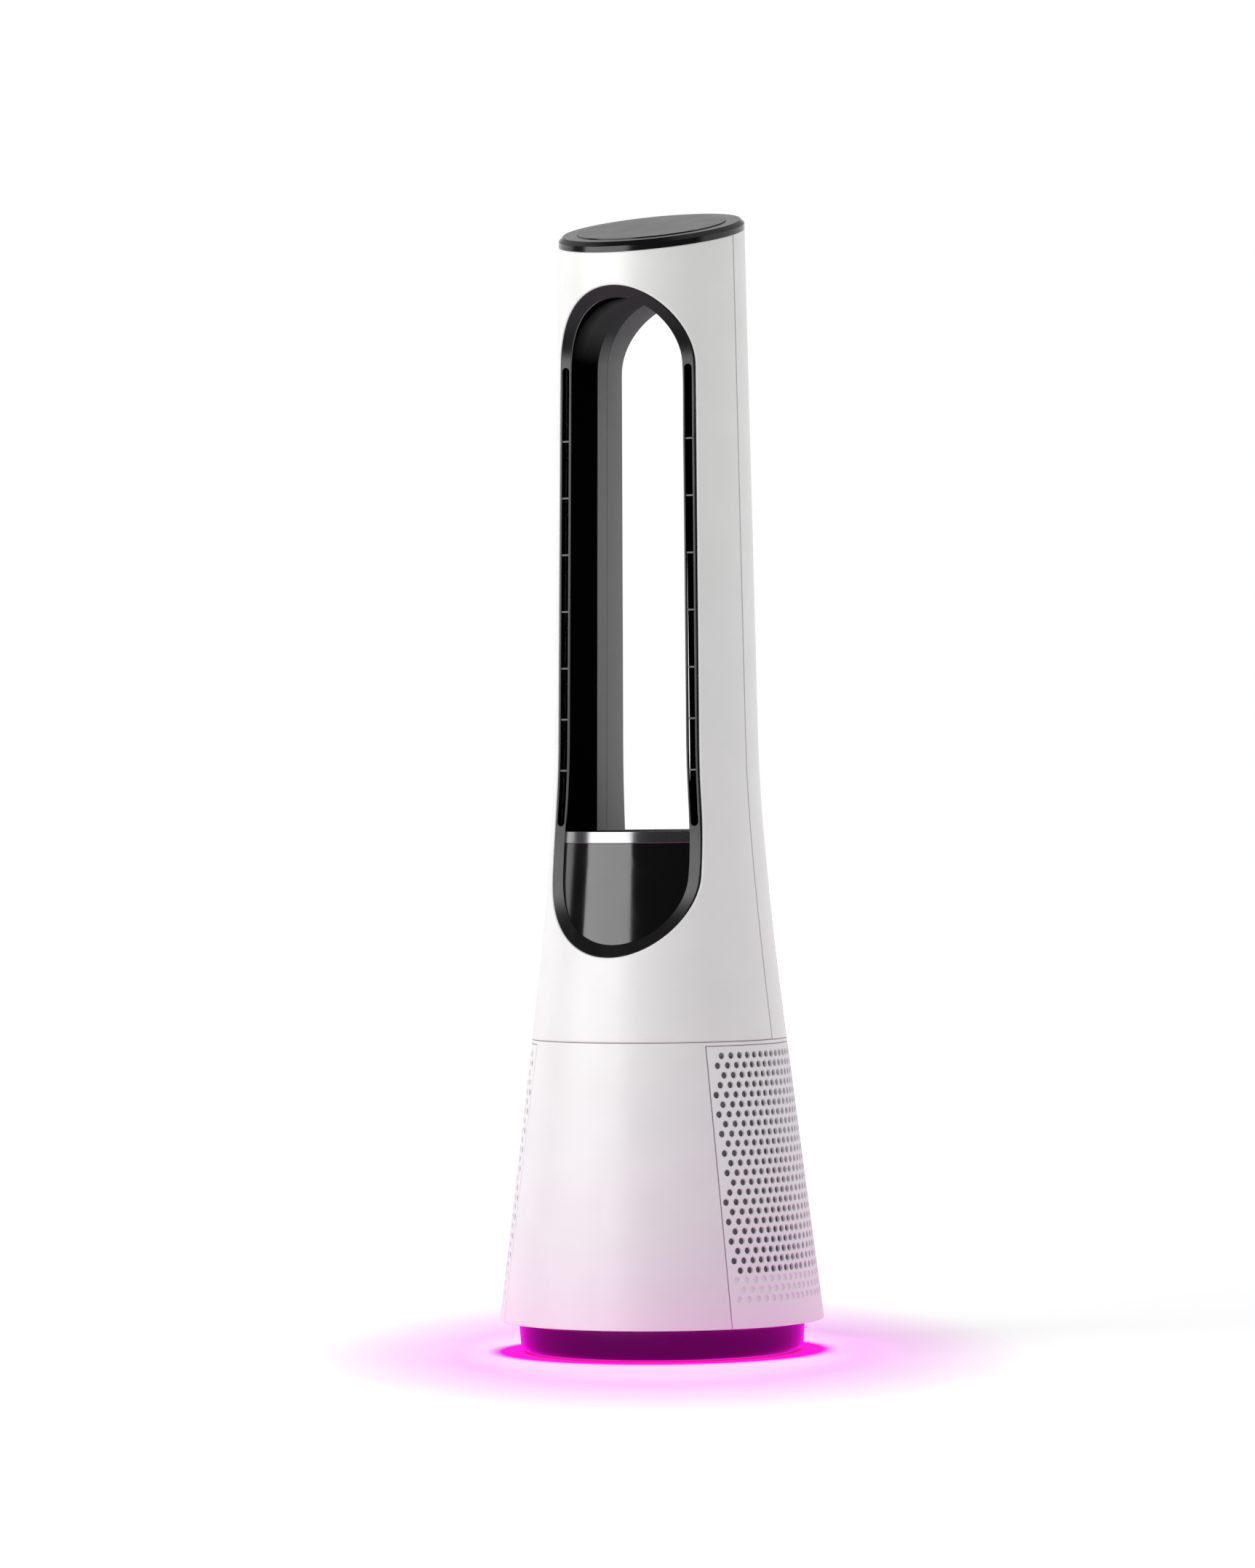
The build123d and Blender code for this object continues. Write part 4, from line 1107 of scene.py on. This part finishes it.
@dataclass
class Studio:
    """Pale floor, soft light and the camera at the photograph's viewing angle."""

    floor_r: float = 16.0
    azimuth: float = math.radians(25.5)
    distance: float = 4.971
    height: float = 0.43264
    sensor: float = 36.0
    far: float = 60.0
    focal: float = 9560.0
    frame_size: tuple[int, int] = (1725, 2156)
    axis_at: tuple[float, float] = (903.0, 1025.0)
    roll: float = 0.0096
    floor_tone: tuple[float, float] = (0.80, 0.84)
    floor_glow: tuple[float, float] = (0.25, 1.0)
    floor_glow_r: tuple[float, float] = (0.7, 2.2)
    # Painted glow round the foot: a magenta disc and a pale halo, set by the distance from the axis.
    disc_r: tuple[float, float] = (0.115, 0.1255)
    disc: Colour = (0.9, 0.02, 0.45)
    halo_stretch: float = 1.87
    room: tuple[float, float] = (0.47, 1.2)
    room_soft: float = 0.45
    gloss: tuple[float, float] = (0.03, 1.0)
    gloss_soft: float = 0.08
    gloss_fade_z: tuple[float, float] = (0.15, 0.36)
    gloss_top: float = 0.4
    key_azimuth: float = math.radians(-33.5)
    key_distance: float = 1.7
    key_z: float = 1.0
    aim_z: float = 0.45
    key_size: tuple[float, float] = (1.5, 1.3)
    key_power: float = 19.0
    shine_distance: float = 1.65
    shine_size: tuple[float, float] = (1.95, 1.27)
    shine_power: float = 25.5
    # Painted glow: emission of the floor near the foot, to all rays and to glossy rays.
    ring_glow: float = 0.4
    ring_glow_r: tuple[float, float] = (0.13, 0.26)
    shine_glow: tuple[float, float] = (1.6, 0.3)
    shine_glow_r: tuple[float, float] = (0.28, 0.6)
    # Painted reflection: the floor as glossy surfaces mirror it, dark far in front and magenta near the foot.
    front_y: tuple[float, float] = (-1.2, -0.5)
    front_tones: tuple[Colour, Colour] = ((0.03, 0.03, 0.03), (0.38, 0.38, 0.38))
    near_y: tuple[float, float] = (-0.32, -0.16)
    halo: Rings = (
        (0.112, (0.95, 0.67, 0.95)), (0.135, (0.945, 0.59, 0.96)), (0.147, (0.935, 0.56, 0.96)),
        (0.160, (0.945, 0.61, 0.95)), (0.182, (0.94, 0.68, 0.94)), (0.205, (0.945, 0.76, 0.94)),
        (0.230, (0.96, 0.86, 0.95)), (0.260, (0.98, 0.97, 0.98)), (0.300, (1.0, 1.0, 1.0)))
    # Painted bounce light: the magenta that the floor gives to diffuse rays near the foot.
    bounce: Rings = (
        (0.12, (1.0, 0.02, 0.75)), (0.18, (1.0, 0.35, 0.9)), (0.28, (0.98, 0.75, 0.96)),
        (0.42, (1.0, 1.0, 1.0)))
    mirrored: Rings = ((0.12, (1.0, 0.01, 0.78)), (0.6, (1.0, 0.02, 0.78)), (1.0, (1.0, 1.0, 1.0)))

    def build_floor(self) -> None:
        """Lay the floor, white with a painted glow round the foot that stands in for the light of the lit
        ring, and with painted bounce light and painted reflection near it.
        """
        deselect()
        bpy.ops.mesh.primitive_circle_add(vertices=96, radius=self.floor_r, fill_type="NGON")
        floor = bpy.context.object
        floor.name = "studio_floor"
        g = Graph("studio_floor")
        direct, glossy = g.rays()
        radius = g.radius()
        # Painted glow: the magenta disc and the pale halo round the foot.
        disc = g.spread(radius, *self.disc_r)
        painted_glow = g.mix(disc, self.disc, self.rings(g, self.halo_radius(g), self.halo))
        # Painted reflection for glossy rays: dark far in front, magenta near the foot.
        front = g.mix(g.spread(g.axis("Y"), *self.front_y), *self.front_tones)
        near = g.spread(g.axis("Y"), *self.near_y)
        mirrored = g.mix(near, front, self.rings(g, radius, self.mirrored))
        # Painted bounce light for diffuse rays.
        bounce = self.rings(g, radius, self.bounce)
        lit = g.mix(direct, g.mix(glossy, bounce, mirrored), painted_glow)
        g.set("Base Color", g.mix(g.spread(g.noise(8.0), 0.0, 1.0, *self.floor_tone), BLACK, lit))
        g.set("Roughness", 1.0)
        g.set("Specular IOR Level", 0.0)
        g.set("Emission Color", lit)
        seen = g.math("MULTIPLY", direct, g.spread(radius, *self.floor_glow_r, *self.floor_glow))
        shone = g.math("MULTIPLY", glossy, g.spread(radius, *self.shine_glow_r, *self.shine_glow))
        thrown = g.spread(radius, *self.ring_glow_r, self.ring_glow, 0.0)
        g.set("Emission Strength", g.math("MAXIMUM", g.math("MAXIMUM", seen, shone), thrown))
        g.material.cycles.emission_sampling = "NONE"
        floor.data.materials.append(g.material)

    def rings(self, g: Graph, radius: Socket, stops: Rings) -> Socket:
        """Colours of the floor ring by ring.

        Args:
            g: the floor's graph.
            radius: distance from the middle, in metres.
            stops: radius and colour of each ring.

        Returns:
            The colour.
        """
        reach = stops[-1][0]
        return g.ramp(g.spread(radius, 0.0, reach), tuple((place / reach, colour) for place, colour in stops))

    def halo_radius(self, g: Graph) -> Socket:
        """Distance from the fan's axis, shortened towards the front so that the halo lies longer there.

        Args:
            g: the floor's graph.

        Returns:
            The distance, in metres.
        """
        turned = g.node("ShaderNodeMapping", vector_type="TEXTURE")
        turned.inputs["Rotation"].default_value = (0.0, 0.0, self.azimuth)
        turned.inputs["Scale"].default_value = (1.0, self.halo_stretch, 1.0)
        g.feed(turned.inputs["Vector"], g.place.outputs["Object"])
        length = g.node("ShaderNodeVectorMath", operation="LENGTH")
        g.feed(length.inputs[0], turned.outputs[0])
        return length.outputs["Value"]

    def build_world(self) -> None:
        """Light the room: white behind the fan, dimmer in front, plain white to the camera."""
        world = bpy.data.worlds.new("studio")
        bpy.context.scene.world = world
        world.use_nodes = True
        g = Nodes(world.node_tree)
        g.tree.nodes.clear()
        split = g.node("ShaderNodeSeparateXYZ")
        g.feed(split.inputs[0], g.node("ShaderNodeTexCoord").outputs["Generated"])
        to_rear = split.outputs["Y"]
        direct, glossy = g.rays()
        room = g.spread(to_rear, -self.room_soft, self.room_soft, *self.room, "SMOOTHSTEP")
        wall = g.spread(to_rear, -self.gloss_soft, self.gloss_soft, *self.gloss, "SMOOTHSTEP")
        fade = g.spread(split.outputs["Z"], *self.gloss_fade_z, 1.0, self.gloss_top)
        gloss = g.math("MULTIPLY", wall, fade)
        light = g.node("ShaderNodeBackground")
        g.feed(light.inputs["Color"], (1.0, 1.0, 1.0))
        g.feed(light.inputs["Strength"], g.blend(direct, g.blend(glossy, room, gloss), 1.0))
        g.feed(g.node("ShaderNodeOutputWorld").inputs[0], light.outputs[0])

    def build_lamps(self) -> None:
        """Hang the soft lamp at the front left, with a wider twin that only glossy surfaces mirror."""
        lamp = self.build_lamp("key_softbox", self.key_distance, self.key_size, self.key_power)
        lamp.visible_glossy = False
        shine = self.build_lamp("shine_softbox", self.shine_distance, self.shine_size, self.shine_power)
        shine.visible_diffuse = False

    def build_lamp(self, name: str, away: float, size: tuple[float, float], power: float) -> bpy.types.Object:
        """Hang one rectangular lamp where the key light stands.

        Args:
            name: the lamp's name.
            away: its distance from the fan's axis, in metres.
            size: its width and height, in metres.
            power: its power, in watts.

        Returns:
            The lamp.
        """
        at = Vector((math.sin(self.key_azimuth), -math.cos(self.key_azimuth), 0.0)) * away
        at.z = self.key_z
        data = bpy.data.lights.new(name, "AREA")
        data.shape = "RECTANGLE"
        data.size, data.size_y = size
        data.energy = power
        lamp = bpy.data.objects.new(name, data)
        lamp.location = at
        lamp.rotation_euler = (Vector((0.0, 0.0, self.aim_z)) - at).to_track_quat("-Z", "Y").to_euler()
        lamp.visible_camera = False
        bpy.context.collection.objects.link(lamp)
        return lamp

    def build_camera(self) -> None:
        """Set up the long lens, level with the tower's middle, turned and rolled as the photograph is."""
        data = bpy.data.cameras.new("photo_camera")
        data.sensor_width = self.sensor
        data.lens = self.sensor * self.focal / max(self.frame_size)
        data.clip_end = self.far
        camera = bpy.data.objects.new("photo_camera", data)
        bpy.context.collection.objects.link(camera)
        ahead = Vector((-math.sin(self.azimuth), math.cos(self.azimuth), 0.0))
        right = Vector((math.cos(self.azimuth), math.sin(self.azimuth), 0.0))
        up = Vector((0.0, 0.0, 1.0))
        across = (self.axis_at[0] - self.frame_size[0] / 2) / self.focal
        down = (self.frame_size[1] / 2 - self.axis_at[1]) / self.focal
        look = (ahead - across * right - down * up).normalized()
        side = look.cross(up).normalized()
        top = side.cross(look)
        rolled_side = math.cos(self.roll) * side - math.sin(self.roll) * top
        rolled_top = rolled_side.cross(look)
        turn = Matrix((rolled_side, rolled_top, -look)).transposed().to_4x4()
        camera.matrix_world = Matrix.Translation(self.height * up - self.distance * ahead) @ turn
        bpy.context.scene.camera = camera

    def build_all(self) -> None:
        """Build camera, floor, world and lamps."""
        self.build_camera()
        self.build_floor()
        self.build_world()
        self.build_lamps()
        bpy.context.scene.view_settings.view_transform = "Standard"
        log.info("studio: camera, floor, world and two lamps")


def make_finishes() -> dict[str, bpy.types.Material]:
    """Build every finish once.

    Returns:
        Materials by name.
    """
    specs = (
        # The white shells' faces that look at the axis are painted dark, as shade inside the housing.
        Moulding("white_shell", (0.80, 0.80, 0.79), 0.34, Texture.SATIN, 0.0009, inside_shade=(0.05, 0.05, 0.052)),
        Moulding("white_mouth", (0.80, 0.80, 0.79), 0.34, Texture.SATIN, 0.0022, inside_shade=(0.05, 0.05, 0.052)),
        Moulding("bezel", (0.005, 0.005, 0.0055), 0.26, Texture.SATIN, 0.0004, ior=1.55),
        Moulding("rib", (0.12, 0.12, 0.122), 0.5, Texture.SPARKED, 0.0003),
        Moulding("panel_gloss", (0.003, 0.003, 0.0032), 0.12, Texture.POLISHED, 0.0003, ior=1.75),
        Moulding("rim_gloss", (0.006, 0.006, 0.0065), 0.16, Texture.POLISHED, 0.0005),
        Moulding("touch_glass", (0.010, 0.010, 0.0105), 0.2, Texture.POLISHED, 0.0003),
        Moulding("silver", (0.36, 0.36, 0.365), 0.18, Texture.POLISHED, 0.0005, metallic=0.95),
        # The foot's magenta is painted light of the lit ring, and its darker bottom is painted shade.
        Moulding("foot_gloss", (0.02, 0.0006, 0.018), 0.14, Texture.POLISHED, 0.0006,
                 low=(0.002, 0.0005, 0.002), painted_shade_z=(0.002, 0.02)),
        Moulding("inner_dark", (0.035, 0.035, 0.037), 0.55, Texture.SPARKED, 0.0004),
        Moulding("inner_pale", (0.62, 0.62, 0.6), 0.5, Texture.SPARKED, 0.0004),
        # The linings' greys are painted reflection, and their arch colours are painted shade.
        Lining("lining_front", (0.0012, 0.0012, 0.0013), (0.28, 0.28, 0.283), 0.005, (0.075, 0.075, 0.076)),
        Lining("lining_rear", (0.28, 0.28, 0.283), (0.28, 0.28, 0.283), 0.005, (0.19, 0.19, 0.192)),
        Metal("rolled_steel", (0.56, 0.57, 0.58), 0.32, Pattern.ROLLED),
        Metal("turned_steel", (0.6, 0.6, 0.62), 0.26, Pattern.TURNED),
        Metal("cast_iron", (0.09, 0.09, 0.092), 0.7, Pattern.CAST, 0.6),
        Metal("laminated", (0.3, 0.3, 0.31), 0.45, Pattern.LAMINATED),
        Metal("copper", (0.62, 0.3, 0.16), 0.38, Pattern.LAMINATED),
        Fibre("filter_paper", (0.34, 0.34, 0.345), False),
        Fibre("filter_net", (0.2, 0.2, 0.205), True),
        Fibre("foam", (0.06, 0.06, 0.062), True),
        Rubber("rubber", (0.022, 0.022, 0.023)),
        Circuit("circuit", (0.012, 0.09, 0.04), (0.02, 0.14, 0.06), (0.75, 0.62, 0.35)),
        Diffuser("light_ring", (1.0, 0.01, 0.75), 9.0, 24),
    )
    return {spec.name: spec.make() for spec in specs}


def main() -> None:
    """Build the studio and dress the fan, sub-assembly by sub-assembly."""
    logging.basicConfig(level=logging.INFO, format="%(name)s: %(message)s")
    Studio().build_all()
    finishes = make_finishes()
    Housing().dress_all(finishes)
    FanUnit().dress_all(finishes)
    Foot().dress_all(finishes)
    Column().dress_all(finishes)
    deselect()


if __name__ == "__main__":
    main()
